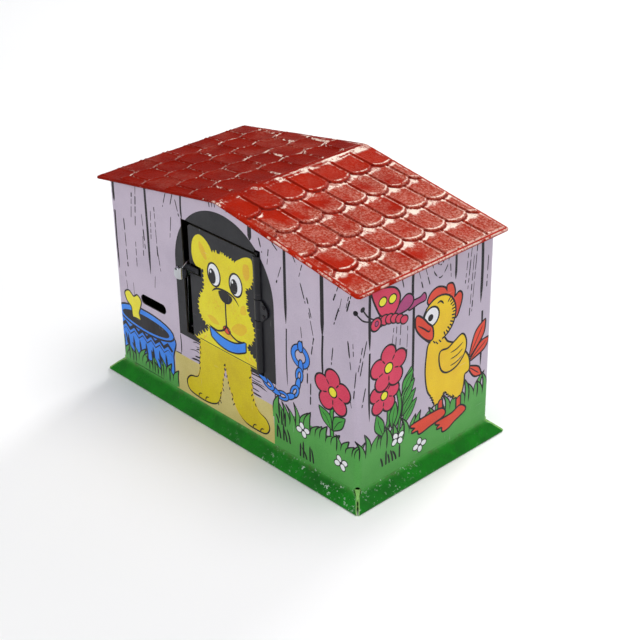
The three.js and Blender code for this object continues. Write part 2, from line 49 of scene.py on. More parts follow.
# ---- driving sizes, in mm, as the frame has them ----
WALL_X, WALL_Y, CORNER = 90.0, 46.0, 3.0          # half-width, half-depth, corner radius
TIN = 0.8
ROOF_EAVE, ROOF_RIDGE, ROOF_X, ROOF_Y = 113.7, 129.4, 95.1, 50.2
ROOF_HEM, ROOF_CORNER = 1.15, 2.2                 # the folded rim's thickness, the corners' radius
WALL_TOP, WALL_SLOPE = 127.7, 0.17245             # the walls' top edge under the ridge, its fall per mm
SKIRT_OUT, SKIRT_EDGE, SKIRT_START = 6.1, 0.9, 8.0
SKIRT_SLIT, RELIEF = 0.9, 1.9                     # the slit at each corner and the round at its top
OPENING = (-31.8, 26.5, 45.5, 108.8)              # left, right, bottom, top
HINGE_RELIEF = (22.3, 26.5, 43.6, 110.6)
SLOT = (-69.4, -48.6, 48.4, 54.0)
DOOR, DOOR_FRONT = (-25.8, 23.4, 46.0, 108.0), -46.6
NOTCH = (-17.5, 81.8, 87.0)                       # the notch's end, bottom and top
LEAF_GAP = (22.4, 74.2, 85.8)                     # the door's cut for the fixed knuckle
HINGE_X, HINGE_Y, ROLL = 24.4, -45.9, 1.7
GRID = 2 * WALL_X / 150                           # pictures are drawn 150 units to the front wall
TO_BACK = 2 * (WALL_X + WALL_Y)                   # from the front's middle to the back's, along the sheet
ROUND = 2 * TO_BACK                               # all the way round the walls
SEAM_AT = TO_BACK + 78                            # the sheet's end, measured round from the front
LAP_WIDTH, LAP_STEP, LAP_HEIGHT = 5.0, 0.8, 0.5   # where the sheet's end laps over its start

rng = random.Random(7)


# ======== Materials ========
def srgb(code):
    """Linear colour of an sRGB hex code."""
    channels = [int(code[i:i + 2], 16) / 255 for i in (1, 3, 5)]
    return [c / 12.92 if c <= 0.04045 else ((c + 0.055) / 1.055) ** 2.4 for c in channels] + [1]


class Nodes:
    """A short hand for building one material's node tree. Colours can be hex codes."""

    def __init__(self, name):
        self.material = bpy.data.materials.new(name)
        self.material.use_nodes = True
        self.tree = self.material.node_tree
        self.shader = self.tree.nodes["Principled BSDF"]
        self.place = self.add("ShaderNodeTexCoord").outputs["Object"]

    def add(self, kind, inputs=None, **settings):
        node = self.tree.nodes.new(kind)
        for key, value in settings.items():
            setattr(node, key, value)
        for key, value in (inputs or {}).items():
            self.feed(node.inputs[key], value)
        return node

    def feed(self, socket, value):
        if isinstance(value, bpy.types.NodeSocket):
            self.tree.links.new(value, socket)
        else:
            socket.default_value = srgb(value) if isinstance(value, str) else value

    def set(self, **values):
        for key, value in values.items():
            self.feed(self.shader.inputs[key.replace("_", " ")], value)

    def noise(self, scale, detail=3.0, roughness=0.55, stretch=None):
        place = self.place
        if stretch:
            place = self.add("ShaderNodeMapping", {"Vector": place, "Scale": stretch}).outputs[0]
        settings = {"Vector": place, "Scale": scale, "Detail": detail, "Roughness": roughness}
        return self.add("ShaderNodeTexNoise", settings).outputs["Fac"]

    def ramp(self, value, low, high, out_low=0.0, out_high=1.0):
        limits = {"From Min": low, "From Max": high, "To Min": out_low, "To Max": out_high}
        return self.add("ShaderNodeMapRange", {"Value": value, **limits}).outputs[0]

    def math(self, operation, a, b=0.0):
        return self.add("ShaderNodeMath", {0: a, 1: b}, operation=operation).outputs[0]

    def times(self, a, b):
        return self.math("MULTIPLY", a, b)

    def plus(self, a, b):
        return self.math("ADD", a, b)

    def mix(self, amount, a, b):
        settings = {"Factor": amount, "A": a, "B": b}
        return self.add("ShaderNodeMix", settings, data_type="RGBA", clamp_factor=True).outputs["Result"]

    def tint(self, colour, amount, share, code):
        """The colour with another over it: the amount says where, the share how much at most."""
        return self.mix(self.times(amount, share), colour, code)

    def bump(self, height, distance, strength=1.0):
        node = self.add("ShaderNodeBump", {"Height": height, "Distance": distance, "Strength": strength})
        self.feed(self.shader.inputs["Normal"], node.outputs["Normal"])

    def axis(self, letter, size=False):
        value = self.add("ShaderNodeSeparateXYZ", {"Vector": self.place}).outputs[letter]
        return self.math("ABSOLUTE", value) if size else value


def scratches(nodes):
    """Fine straight scratches in two directions, 0 to 1."""
    along, across = nodes.noise(60, 2, 0.6, (1, 1, 22)), nodes.noise(70, 2, 0.6, (20, 20, 1))
    return nodes.ramp(nodes.math("MAXIMUM", along, across), 0.71, 0.75)


def ink(name, code, shade):
    """One printed litho ink under clear varnish: mottled, grainy, finely scratched."""
    nodes = Nodes(name)
    cloudy = nodes.ramp(nodes.noise(45, 4), 0.35, 0.7)
    grainy = nodes.ramp(nodes.noise(2300, 2), 0.35, 0.68)
    tone = nodes.plus(nodes.times(cloudy, 0.5), nodes.times(grainy, 0.5))
    colour = nodes.mix(nodes.ramp(tone, 0.2, 0.85), code, shade)
    pale_mark = nodes.times(scratches(nodes), nodes.ramp(nodes.noise(90, 3), 0.45, 0.62))
    colour = nodes.tint(colour, pale_mark, 0.32, "#e8e4ea")
    colour = nodes.tint(colour, nodes.ramp(nodes.noise(900, 2), 0.73, 0.76), 0.4, "#4a4038")
    nodes.set(Base_Color=colour, Coat_Weight=0.12, Coat_Roughness=0.2, Specular_IOR_Level=0.16,
        Roughness=nodes.ramp(nodes.noise(160, 4), 0.3, 0.75, 0.28, 0.5))
    peel = nodes.plus(nodes.noise(420, 2), nodes.times(nodes.noise(55, 2), 2))
    nodes.bump(peel, 0.00006, 0.5)
    return nodes.material


def tin(name, code="#d6d7da", rough=0.1, tarnish="#8d8a80"):
    """Bright tinplate: rolled streaks, faint tarnish and smudges."""
    nodes = Nodes(name)
    streaks = nodes.noise(40, 3, 0.6, (1, 1, 30))
    patches = nodes.ramp(nodes.noise(130, 5, 0.65), 0.52, 0.75)
    roughness = nodes.ramp(streaks, 0.3, 0.7, rough - 0.03, rough + 0.06)
    nodes.set(Base_Color=nodes.tint(code, patches, 0.6, tarnish), Metallic=1.0,
        Roughness=nodes.plus(roughness, nodes.times(patches, 0.14)))
    nodes.bump(streaks, 0.00003, 0.4)
    return nodes.material


def lacquered_inside(name):
    """The sheets' inside: tin under a thin gold lacquer, dull and smudged."""
    nodes = Nodes(name)
    patches = nodes.ramp(nodes.noise(70, 5, 0.65), 0.4, 0.75)
    nodes.set(Base_Color=nodes.mix(patches, "#a9a392", "#766f5c"), Metallic=0.9,
        Roughness=nodes.ramp(patches, 0, 1, 0.3, 0.5))
    nodes.bump(nodes.noise(300, 3), 0.00005, 0.5)
    return nodes.material


def skirt_green(name):
    """Glossy dark green, fading lighter into the grass at the bend (the print's blend, with a painted
    reflection on the flare), darker along the bend, and pale flecks near the front right corner:
    chipped paint with painted glints.
    """
    nodes = Nodes(name)
    mottled = nodes.ramp(nodes.noise(85, 5, 0.6), 0.35, 0.7)
    colour = nodes.mix(mottled, "#157f18", "#0a5d10")
    # Lighter green toward the bend: partly the print blending into the grass, partly a painted reflection
    # on the flare.
    fade = nodes.plus(nodes.axis("Z"), nodes.times(nodes.noise(140, 4), 0.0016))
    colour = nodes.mix(nodes.ramp(fade, 0.0064, 0.0090), colour, "#47a03e")
    along_x, along_y = nodes.axis("X", True), nodes.axis("Y", True)
    from_mitre = nodes.math("SUBTRACT", nodes.math("SUBTRACT", along_x, along_y), (WALL_X - WALL_Y) * MM)
    mitre = nodes.ramp(nodes.math("ABSOLUTE", from_mitre), 0.0009, 0.0014, 1, 0)
    past_wall = nodes.ramp(along_x, (WALL_X - 2) * MM, (WALL_X - 1) * MM)
    colour = nodes.mix(nodes.times(mitre, past_wall), colour, "#8fc46a")
    to_right = nodes.ramp(nodes.axis("X"), -0.01, 0.08)
    to_front = nodes.ramp(nodes.axis("Y"), 0.012, -0.044)
    by_corner = nodes.ramp(nodes.math("MINIMUM", to_right, to_front), 0.1, 0.9, 0.05, 1.0)
    # A darker brownish band along the bend.
    bend = nodes.ramp(nodes.axis("Z"), 0.0050, 0.0072)
    bend_darkening = nodes.times(nodes.ramp(nodes.noise(210, 5, 0.7), 0.5, 0.66), bend)
    colour = nodes.tint(colour, bend_darkening, 0.6, "#4a5a2e")
    # Pale flecks gathered at the front right corner: chipped paint, and painted glints on the lumpy flare.
    chip_and_glint_area = nodes.times(nodes.ramp(nodes.noise(75, 3), 0.44, 0.60), by_corner)
    chips_and_glints = nodes.times(nodes.ramp(nodes.noise(560, 3, 0.7), 0.60, 0.66), chip_and_glint_area)
    colour = nodes.mix(chips_and_glints, colour, "#cfe6d4")
    nodes.set(Base_Color=colour, Coat_Weight=0.25, Coat_Roughness=0.1, Specular_IOR_Level=0.2,
        Roughness=nodes.ramp(mottled, 0, 1, 0.22, 0.36))
    lumps = nodes.plus(nodes.noise(240, 3), nodes.times(nodes.noise(80, 2), 2.5))
    nodes.bump(nodes.plus(lumps, chips_and_glints), 0.0002, 0.8)
    return nodes.material


def roof_red(name):
    """Glossy red lacquer over embossed tin, the left slope painted darker than the right as painted shade.
    Mesh attributes: the one read first is painted highlight above 0 (glints on tile edges, shoulders
    and pockets, with some rubbed-through paint) and painted shade in the creases below 0; "rub" is
    where the lacquer has gone matt."""
    nodes = Nodes(name)
    painted_light_and_wear = nodes.add("ShaderNodeAttribute", attribute_name="painted_light_and_wear").outputs["Fac"]
    rub = nodes.add("ShaderNodeAttribute", attribute_name="rub").outputs["Fac"]
    fray, hammered = nodes.noise(420, 5, 0.8), nodes.noise(820, 4, 0.75)
    # The left slope is given a darker red than the right one: painted shade on the slope turned from the
    # lamps.
    right = nodes.ramp(nodes.axis("X"), -0.004, 0.006)
    cloudy = nodes.ramp(nodes.noise(55, 4), 0.3, 0.7)
    shaded_left_red, lit_right_red = nodes.mix(cloudy, "#8a1604", "#780f03"), nodes.mix(cloudy, "#ad2108", "#951805")
    colour = nodes.mix(right, shaded_left_red, lit_right_red)
    place = nodes.plus(nodes.axis("X"), nodes.times(nodes.axis("Y"), 0.9))
    leaning = nodes.ramp(place, -0.1, 0.11, -0.14, 0.12)
    matt = nodes.times(rub, nodes.ramp(nodes.plus(nodes.noise(62, 4), leaning), 0.4, 0.56))
    matt = nodes.times(matt, nodes.ramp(right, 0, 1, 0.25, 1.0))
    colour = nodes.tint(colour, matt, 0.55, "#a3452f")
    colour = nodes.tint(colour, nodes.times(nodes.ramp(hammered, 0.46, 0.6), matt), 0.7, "#e0a594")
    pits = nodes.ramp(nodes.noise(640, 4, 0.75), 0.57, 0.66)
    colour = nodes.tint(colour, nodes.times(pits, matt), 0.6, "#5e3020")
    # Painted shade: where the first attribute is below 0, the side joints and the creases under the tips
    # go dark red.
    colour = nodes.mix(nodes.ramp(painted_light_and_wear, -0.05, -0.7, 0, 0.9), colour, "#640c03")
    # Painted highlights: pale glints where the first attribute is above 0 (tile edges, tip shoulders,
    # pockets, rims), gathered toward the back right where the light catches, with pale blots beside them;
    # some of it is rubbed-through paint.
    pale_mark = nodes.ramp(nodes.plus(painted_light_and_wear, nodes.ramp(fray, 0.2, 0.8, 0.05, 0.95)), 0.88, 1.04)
    patch = nodes.ramp(nodes.plus(nodes.noise(38, 3), leaning), 0.40, 0.56)
    spots = nodes.ramp(nodes.plus(nodes.noise(130, 3), nodes.times(leaning, 0.8)), 0.44, 0.54)
    here = nodes.times(nodes.ramp(patch, 0, 1, 0.5, 1.0), nodes.ramp(spots, 0, 1, 0.35, 1.0))
    blots = nodes.ramp(nodes.plus(nodes.noise(150, 4, 0.7), leaning), 0.50, 0.56)
    blots = nodes.times(blots, nodes.ramp(painted_light_and_wear, 0.06, 0.3))
    blots = nodes.times(blots, nodes.ramp(hammered, 0.38, 0.5))
    colour = nodes.tint(colour, nodes.math("MAXIMUM", nodes.times(pale_mark, here), blots), 0.95, "#fbe6d6")
    nodes.set(Base_Color=colour, Coat_Weight=0.07, Coat_Roughness=0.12, Specular_IOR_Level=0.02,
        Roughness=nodes.ramp(fray, 0.3, 0.75, 0.22, 0.45))
    nodes.bump(nodes.plus(fray, hammered), 0.0003, 0.9)
    return nodes.material


def floor_material(name):
    nodes = Nodes(name)
    tone = nodes.ramp(nodes.noise(3, 2), 0.3, 0.7)
    nodes.set(Base_Color=nodes.mix(tone, (0.93, 0.93, 0.935, 1), (0.91, 0.91, 0.915, 1)), Roughness=0.7,
        Specular_IOR_Level=0.2)
    return nodes.material


PALETTE = {"lilac": ("#c5b8ca", "#b7abbe"), "outline": ("#0d090f", "#18121c"), "grass": ("#55a54c",
    "#45943f"), "leaf": ("#46a33f", "#378c33"), "yellow": ("#e7dc22", "#d9c31c"), "amber": ("#e4c426",
    "#dba42a"), "mustard": ("#dccb0c", "#c6ac0c"), "arch": ("#222227", "#19191e"), "blue": ("#3d8df2",
    "#2a76e0"), "tan": ("#d2c47e", "#c1b166"), "pink": ("#df4062", "#c9304f"), "violet": ("#b4487f",
    "#97346a"), "coral": ("#e64c33", "#cd3a28"), "chick": ("#f3cf1b", "#e3b41b"), "white": ("#f2f2f5",
    "#dedee6"), "dot": ("#f2ec3a", "#e0cf30")}
INKS = {key: ink("ink_" + key, *colours) for key, colours in PALETTE.items()}
INK_ORDER = list(INKS)
INSIDE = lacquered_inside("tin_inside")
BRIGHT = tin("tin_bright")
POLISHED = tin("tin_polished", "#b4b6bb", 0.04, "#8d8b84")
RED = roof_red("lacquer_roof")
GREEN = skirt_green("lacquer_skirt")
EDGE_GREEN = ink("lacquer_base", "#86bf62", "#6aa84e")


# ======== Drawing: outlines in picture units, kept in painter's order ========
def curve(points, closed=True, steps=6):
    """A smooth line through the points (Catmull-Rom)."""
    points = np.array(points, float)
    before, after, later = (np.roll(points, shift, 0) for shift in (1, -1, -2))
    if not closed:
        before[0], after[-1], later[-2], later[-1] = points[0], points[-1], points[-1], points[-1]
    out = []
    for a, b, c, d in list(zip(before, points, after, later))[:None if closed else -1]:
        for t in np.arange(steps) / steps:
            square, cube = 2 * a - 5 * b + 4 * c - d, 3 * b - a - 3 * c + d
            out.append(0.5 * (2 * b + (c - a) * t + square * t ** 2 + cube * t ** 3))
    return np.array(out if closed else out + [points[-1]])


def mirrored(half, middle=0):
    """A half outline and its mirror image about x = middle, joined."""
    half = np.array(half, float)
    return np.concatenate([half, (half * (-1, 1) + (2 * middle, 0))[::-1]])


def ellipse(x, z, half_x, half_z, turn=0, count=26):
    angles = np.linspace(0, 2 * math.pi, count, endpoint=False)
    flat = np.stack([half_x * np.cos(angles), half_z * np.sin(angles)], 1)
    c, s = math.cos(math.radians(turn)), math.sin(math.radians(turn))
    return flat @ np.array([[c, s], [-s, c]]) + (x, z)


def side_vectors(line, closed):
    """Unit vectors to the left of a line at each of its points."""
    along = np.roll(line, -1, 0) - np.roll(line, 1, 0) if closed else np.gradient(line, axis=0)
    length = np.maximum(np.linalg.norm(along, axis=1, keepdims=True), 1e-9)
    return np.stack([-along[:, 1], along[:, 0]], 1) / length


def outward(points):
    """Unit vectors out of a closed outline."""
    x, z = points[:, 0], points[:, 1]
    turn = -1 if np.sum(x * np.roll(z, -1) - z * np.roll(x, -1)) > 0 else 1
    return side_vectors(points, True) * turn


def stroke(points, width, taper=(0.15, 0.15), smooth=True):
    """A brush stroke along an open line, as a closed outline. taper is each end's share of width."""
    line = curve(points, closed=False) if smooth or len(points) < 3 else np.array(points, float)
    t = np.linspace(0, 1, len(line))
    swell = np.minimum(1, np.minimum(taper[0] + t * 4, taper[1] + (1 - t) * 4))[:, None]
    across = side_vectors(line, False) * (width / 2) * swell
    return np.concatenate([line + across, (line - across)[::-1]])


def furry(points, size, gap=1.2, spans=((0, 1),), lean=0.5):
    """A closed outline whose given spans (shares of its length) are broken into pointed tufts."""
    along = np.roll(points, -1, 0) - points
    lengths = np.linalg.norm(along, axis=1)
    total, out, run, due = lengths.sum(), [], 0, 0
    for point, away, step, length in zip(points, outward(points), along, lengths):
        out.append(point)
        if run >= due and any(a <= run / total <= b for a, b in spans):
            out.append(point + away * size * rng.uniform(0.6, 1.2) + step / max(length, 1e-9) * lean)
            due = run + gap * rng.uniform(0.7, 1.3)
        run += length
    return np.array(out)


class Print:
    """The inks laid on one sheet; centre is a picture's middle in the sheet's own coordinate."""

    def __init__(self):
        self.layers = []
        self.centre = 0.0

    def fill(self, name, points):
        points = np.array(points, float) * GRID
        points[:, 0] += self.centre
        self.layers.append((name, points))

    def shape(self, name, points, line=0.85):
        """A filled outline with a dark contour line."""
        points = np.array(points, float)
        self.fill("outline", points + outward(points) * line)
        self.fill(name, points)

    def blob(self, name, points, line=0.85):
        """A shape with a smooth outline through a few points."""
        self.shape(name, curve(points), line)

    def line(self, points, width=0.8, name="outline", **options):
        self.fill(name, stroke(points, width, **options))

    def ring(self, x, z, outer, inner, turn=0):
        """A blue ring or chain link; outer and inner are its (half_x, half_z)."""
        line = 0.55
        self.shape("blue", ellipse(x, z, *outer, turn), line)
        self.fill("outline", ellipse(x, z, *inner, turn))
        self.fill("lilac", ellipse(x, z, inner[0] - line, inner[1] - line, turn))


# ---- things drawn on more than one wall ----
def plank_lines(art, lines):
    """Dark joints between the boards: (x, top, bottom, width)."""
    for x, top, bottom, width in lines:
        sway = rng.uniform(-0.5, 0.5)
        art.line([(x, top), (x + sway, (top + bottom) / 2), (x + sway * 0.4, bottom)], width,
            taper=(1, 0.1))


def grain(art, marks, width=0.5):
    """Broken lines in the wood: (top x, top z, bottom x, bottom z)."""
    for x0, z0, x1, z1 in marks:
        start = 0.0
        length = math.hypot(x1 - x0, z1 - z0)
        while start < 1:
            end = min(1, start + rng.uniform(2, 7.5) / length)
            ends = [(x0 + (x1 - x0) * t, z0 + (z1 - z0) * t) for t in (start, end)]
            thickness = width * rng.uniform(0.6, 1.3)
            if (end - start) * length > 0.8:
                art.line(ends, thickness, taper=(0.4, 0.3), smooth=False)
            start = end + rng.uniform(0.4, 1.4) / length


def loose_grain(art, x0, x1, count):
    for _ in range(count):
        x, z, lean = rng.uniform(x0, x1), rng.uniform(45, 92), rng.uniform(-2.5, 1.5)
        grain(art, [(x, z, x + lean, z - rng.uniform(5, 14))], 0.4)


def grass_blades(art, x0, x1, foot=20, low=6.5, high=12.5, gap=3.1):
    """A row of hooked blades with dark edges, from x0 to x1."""
    x = x0
    while x < x1:
        height, lean = rng.uniform(low, high), rng.choice((-1, -0.7, 0.7, 1)) * rng.uniform(2.4, 4.6)
        tip, middle = (x + lean, foot + height), foot + height * 0.6
        left = curve([(x - 2, foot), (x - 1.5 + lean * 0.08, middle), tip], False)
        right = curve([(x + 2, foot), (x + 1.2 + lean * 0.26, middle), tip], False)
        art.fill("grass", np.concatenate([left, right[::-1][1:]]))
        sides = (left, right) if lean > 0 else (right, left)
        art.line(sides[1], 0.8, taper=(0.05, 0.4), smooth=False)
        art.line(sides[0][2:], 0.6, taper=(0.1, 0.5), smooth=False)
        x += gap * rng.uniform(0.7, 1.3)


def grass_tuft(art, x, foot, count, height):
    """Dark strokes fanning up out of the lawn."""
    for i in range(count):
        base, top = x + i * 1.9, foot + height * rng.uniform(0.6, 1.1)
        lean = rng.uniform(-3.2, 0.4)
        art.line([(base, foot), (base + lean * 0.3, (foot + top) / 2), (base + lean, top)], 0.95,
            taper=(0.6, 0.05))


def daisy(art, x, z, turn):
    """A small white flower of four petals in the grass."""
    size = 1.1
    for k in range(4):
        angle = math.radians(turn + 90 * k)
        centre = (x + 2.1 * size * math.cos(angle), z + 1.6 * size * math.sin(angle))
        art.shape("white", ellipse(*centre, 1.35 * size, 1.05 * size, turn + 90 * k, 14), 0.45)
    art.fill("outline", ellipse(x, z, 0.65 * size, 0.5 * size, 0, 10))


def flower(art, x, z, reach, turn=90):
    """A flower with five round petals and a yellow eye."""
    size, angles = reach * 0.38, [math.radians(turn + 72 * k) for k in range(5)]
    spots = [(x + (reach - size) * math.cos(a), z + (reach - size) * math.sin(a)) for a in angles]
    for spot in spots:
        art.fill("outline", ellipse(*spot, size + 0.85, size + 0.85))
    for spot in spots:
        art.fill("pink", ellipse(*spot, size, size))
    art.fill("pink", ellipse(x, z, size, size))
    for angle in angles:
        c, s = math.cos(angle + math.pi / 5), math.sin(angle + math.pi / 5)
        art.line([(x + reach * t * c, z + reach * t * s) for t in (0.34, 0.58)], 0.6, taper=(0.05, 0.9),
            smooth=False)
    art.shape("dot", ellipse(x, z, reach * 0.2, reach * 0.2), 0.6)


def leaf(art, foot, tip, width, bend=0):
    """A pointed leaf with a middle vein."""
    foot, tip = np.array(foot, float), np.array(tip, float)
    along = tip - foot
    side = np.array([-along[1], along[0]]) / np.linalg.norm(along)
    middle = (foot + tip) / 2 + side * bend
    outline = curve([foot, middle + side * width, tip], False, 8)
    back = curve([tip, middle - side * width, foot], False, 8)
    art.shape("leaf", np.concatenate([outline, back[1:-1]]), 0.6)
    art.line([foot, middle, foot + along * 0.8], 0.35)


def stem(art, points, width=1.3):
    art.line(points, width + 1.3, taper=(1, 1))
    art.line(points, width, name="leaf", taper=(1, 1))


def growing_flower(art, x, z, reach):
    """A flower on its own stem, with a leaf on each side."""
    foot = 26
    stem(art, [(x - 0.6, foot), (x - 0.7, (foot + z) / 2), (x, z - reach * 0.6)])
    leaf(art, (x - 0.8, foot + 3), (x - 7.6, foot + 11), 2.4, -0.7)
    leaf(art, (x, foot + 3), (x + 6.6, foot + 11), 2.4, 0.7)
    flower(art, x, z, reach)


def frond(art, x, foot, top):
    """A bushy leaf: broad leaflets up one side of a bent stem."""
    leaf(art, (x + 1, top - 13), (x + 4.6, top), 2.8, 0.3)
    for i in range(4):
        z = foot + (top - foot - 10) * i / 3.2
        leaf(art, (x - 0.4, z), (x + 7.6 - 0.7 * i, z + 9.5), 2, 0.6)
    stem(art, [(x - 2.4, foot - 2), (x - 0.6, (foot + top) / 2), (x + 1.8, top - 8)], 0.7)


def lawn(art, half):
    art.fill("grass", [(-half, 3), (half, 3), (half, 24), (0, 24.5), (-half, 24)])


# ---- the front wall ----
def arch(art):
    """The dark doorway printed round the door: straight sides under a half circle."""
    middle, radius, spring, foot = -1.3, 30.4, 70.1, 35.5
    angles = np.linspace(0, math.pi / 2, 22)
    side = [(middle + radius * math.cos(a), spring + radius * math.sin(a)) for a in angles]
    art.fill("arch", mirrored([(middle + radius, foot), *side], middle))


def sill(art):
    """Board ends under the doorway, hatched with dark strokes."""
    for inner, outer in ((-17, -31.6), (13, 28.6)):
        art.fill("lilac", [(inner, 25), (outer, 25), (outer, 35.6), (inner, 35.6)])
        art.line([(outer, 35.4), (outer * 0.99, 30), (outer, 25.6)], 0.7)
        for z in (34.6, 33.2, 31.8, 30.2, 28.2, 26.2):
            start, length = inner + rng.uniform(-1.5, 2.5), rng.uniform(0.25, 0.85) * (outer - inner)
            art.line([(start, z), (start + length * 0.5, z + rng.uniform(-0.6, 0.8)), (start + length, z
                - 0.3)], rng.uniform(0.35, 0.9), taper=(1, 0.05))


def path(art):
    art.fill("tan", [(-37.4, 3), (27.6, 3), (27.2, 15), (26.4, 25.2), (5, 25.6), (-20, 25.3), (-36, 25),
        (-36.6, 15)])
    art.line([(-36, 25.1), (-28, 25.5), (-20, 25.3)], 0.6)


def puppy_legs(art):
    """The puppy's front legs and paws, below the door."""
    left = curve([(-18, 38.6), (-18.6, 32), (-19.2, 24), (-21.2, 18.6), (-26.2, 16.8), (-28.8, 13.4),
        (-27.2, 9.4), (-20.5, 8.2), (-13.2, 8.6), (-8.2, 11.2), (-5.8, 17.4), (-4.2, 24.6), (-2.4, 32.4)],
        False)
    right = curve([(-2.4, 32.4), (-0.8, 24.6), (1.6, 17.6), (5.2, 11.8), (9.6, 9), (16, 8.5), (21.8, 9.2),
        (24.2, 12.6), (22.4, 16.2), (17.6, 18.4), (15, 23), (13.9, 30), (13.6, 38.6)], False)
    body = np.concatenate([left, right[1:]])
    art.fill("amber", body + outward(body) * 0.4)
    art.fill("mustard", furry(body, 0.8, 1.5, ((0, 0.18), (0.82, 1)), 0.3))
    art.line(left[12:62], 0.75, smooth=False)
    art.line(right[18:56], 0.75, smooth=False)
    for x in (13.6, 18.2, -21.5, -17):
        art.line([(x, 8.4), (x + 0.9, 10.3), (x + 2.6, 10.8)], 0.6)
    for edge in (left[:14], left[54:], right[:16], right[58:]):
        for point in edge[::2]:
            art.line([point, point + (rng.uniform(-1.3, 1.3), -1.5)], 0.6, smooth=False)


def tub(art):
    """A blue wooden tub with a bone in it."""
    art.blob("blue", [(-75.2, 31), (-74.6, 22), (-73.2, 10), (-56, 7), (-39.6, 10), (-37.6, 22),
        (-36.8, 31), (-56, 34)], 0.9)
    for x in (-70, -66, -61.5, -57, -52, -47.5, -43):
        art.line([(x, 20.5), (x + 0.5, 14), (x + 0.3, 8)], 1.3, taper=(0.1, 0.7))
    zigzag = [(-74.0 + i * 3, 24.6 + (1.3 if i % 2 else -1.1)) for i in range(13)]
    art.line(zigzag, 1.9, smooth=False, taper=(0.8, 0.8))
    art.line([(x, z - 2.6) for x, z in zigzag], 0.7, smooth=False)
    art.shape("blue", ellipse(-56, 31.4, 19.4, 5.2), 0.9)
    art.shape("outline", ellipse(-56, 30.7, 16.4, 3.3), 0.2)
    art.blob("dot", [(-60, 30.5), (-60.6, 34), (-59.4, 37.2), (-58.4, 40.6), (-60.6, 42.6), (-63.4, 41),
        (-66.6, 42.8), (-69.4, 41), (-68.2, 37.6), (-65.4, 35.4), (-64.6, 30.5)], 0.75)
    art.fill("outline", ellipse(-62, 29.6, 4.4, 1.5))
    grass_blades(art, -74.6, -34.5, 7, 6, 12, 2.2)


def chain(art):
    """A wall ring and the links that hang from it down to the puppy."""
    art.ring(43.7, 54.6, (5, 4.9), (3.2, 3.1))
    art.shape("blue", ellipse(43.8, 59, 1.2, 2.2), 0.55)
    links = [(43.9, 50, 90), (42.9, 45.8, 80), (42, 41.4, 76), (40, 37.2, 58), (37.2, 33.8, 30),
        (32.8, 32.2, 8), (28.4, 32.6, -10), (24.4, 34.2, -20), (21, 36, -28)]
    for i, (x, z, turn) in enumerate(links):
        if i % 2:
            art.ring(x, z, (3.4, 1.9), (2, 1), turn)
        else:
            art.shape("blue", ellipse(x, z, 3, 1.1, turn), 0.55)


def front_wall(art):
    plank_lines(art, [(-71.8, 95, 84, 1.6), (-71.9, 80, 52, 1.1), (-49.6, 98, 57, 1.5), (-25.6, 102, 90,
        1.1), (16.2, 103, 95, 2.3), (36, 100, 66, 1.6), (36.1, 64, 38, 0.7), (56.3, 97, 68, 2),
        (56.5, 69, 50, 1.1)])
    grain(art, [(-56, 96, -58, 77), (-59, 92, -60.5, 80), (-35.5, 99, -38, 92), (-31, 100, -33, 94),
        (-29.5, 98, -27.5, 91), (-8, 104.5, -7.4, 101.5), (-6, 105, -5.8, 102), (-4.4, 105, -4, 101.5),
        (2, 105, 3, 102.5), (-66, 78, -65.6, 55), (-53, 84, -52, 68), (-44, 90, -43.6, 66),
        (21.5, 98, 23.2, 92), (27, 95, 26, 88), (29, 98.5, 33.5, 95), (34, 90, 31, 82), (40, 98, 42.4, 94),
        (45.8, 95, 43.5, 88), (44.5, 87, 47.2, 79)], 0.6)
    grain(art, [(48, 82, 50.4, 74), (49, 76, 51.6, 65), (44.3, 68, 45, 60), (51.5, 66, 50, 58),
        (65.6, 94, 62.4, 86), (65.4, 84, 62.6, 76), (72, 92, 69.5, 84), (70, 72, 71.5, 60),
        (47.8, 53, 47.4, 44), (49.4, 45, 49, 35), (62, 66, 61, 58), (74.4, 60, 73, 48)], 0.6)
    loose_grain(art, -74, -27, 9)
    loose_grain(art, 58, 74, 5)
    arch(art)
    path(art)
    sill(art)
    art.fill("grass", [(-75, 3), (-36.6, 3), (-35.4, 12), (-39, 14), (-75, 14)])
    tub(art)
    puppy_legs(art)
    chain(art)
    art.fill("grass", [(27, 3), (75, 3), (75, 25), (50, 25.5), (40, 25.5), (27.4, 26)])
    grass_blades(art, 28.5, 74.5)
    for x, foot, count, height in ((29, 11, 5, 9), (42.5, 8, 5, 8), (30, 18, 3, 7)):
        grass_tuft(art, x, foot, count, height)
    growing_flower(art, 61.6, 46.2, 9.6)
    daisy(art, 44.3, 21.2, 15)
    daisy(art, 65.8, 15.8, 25)


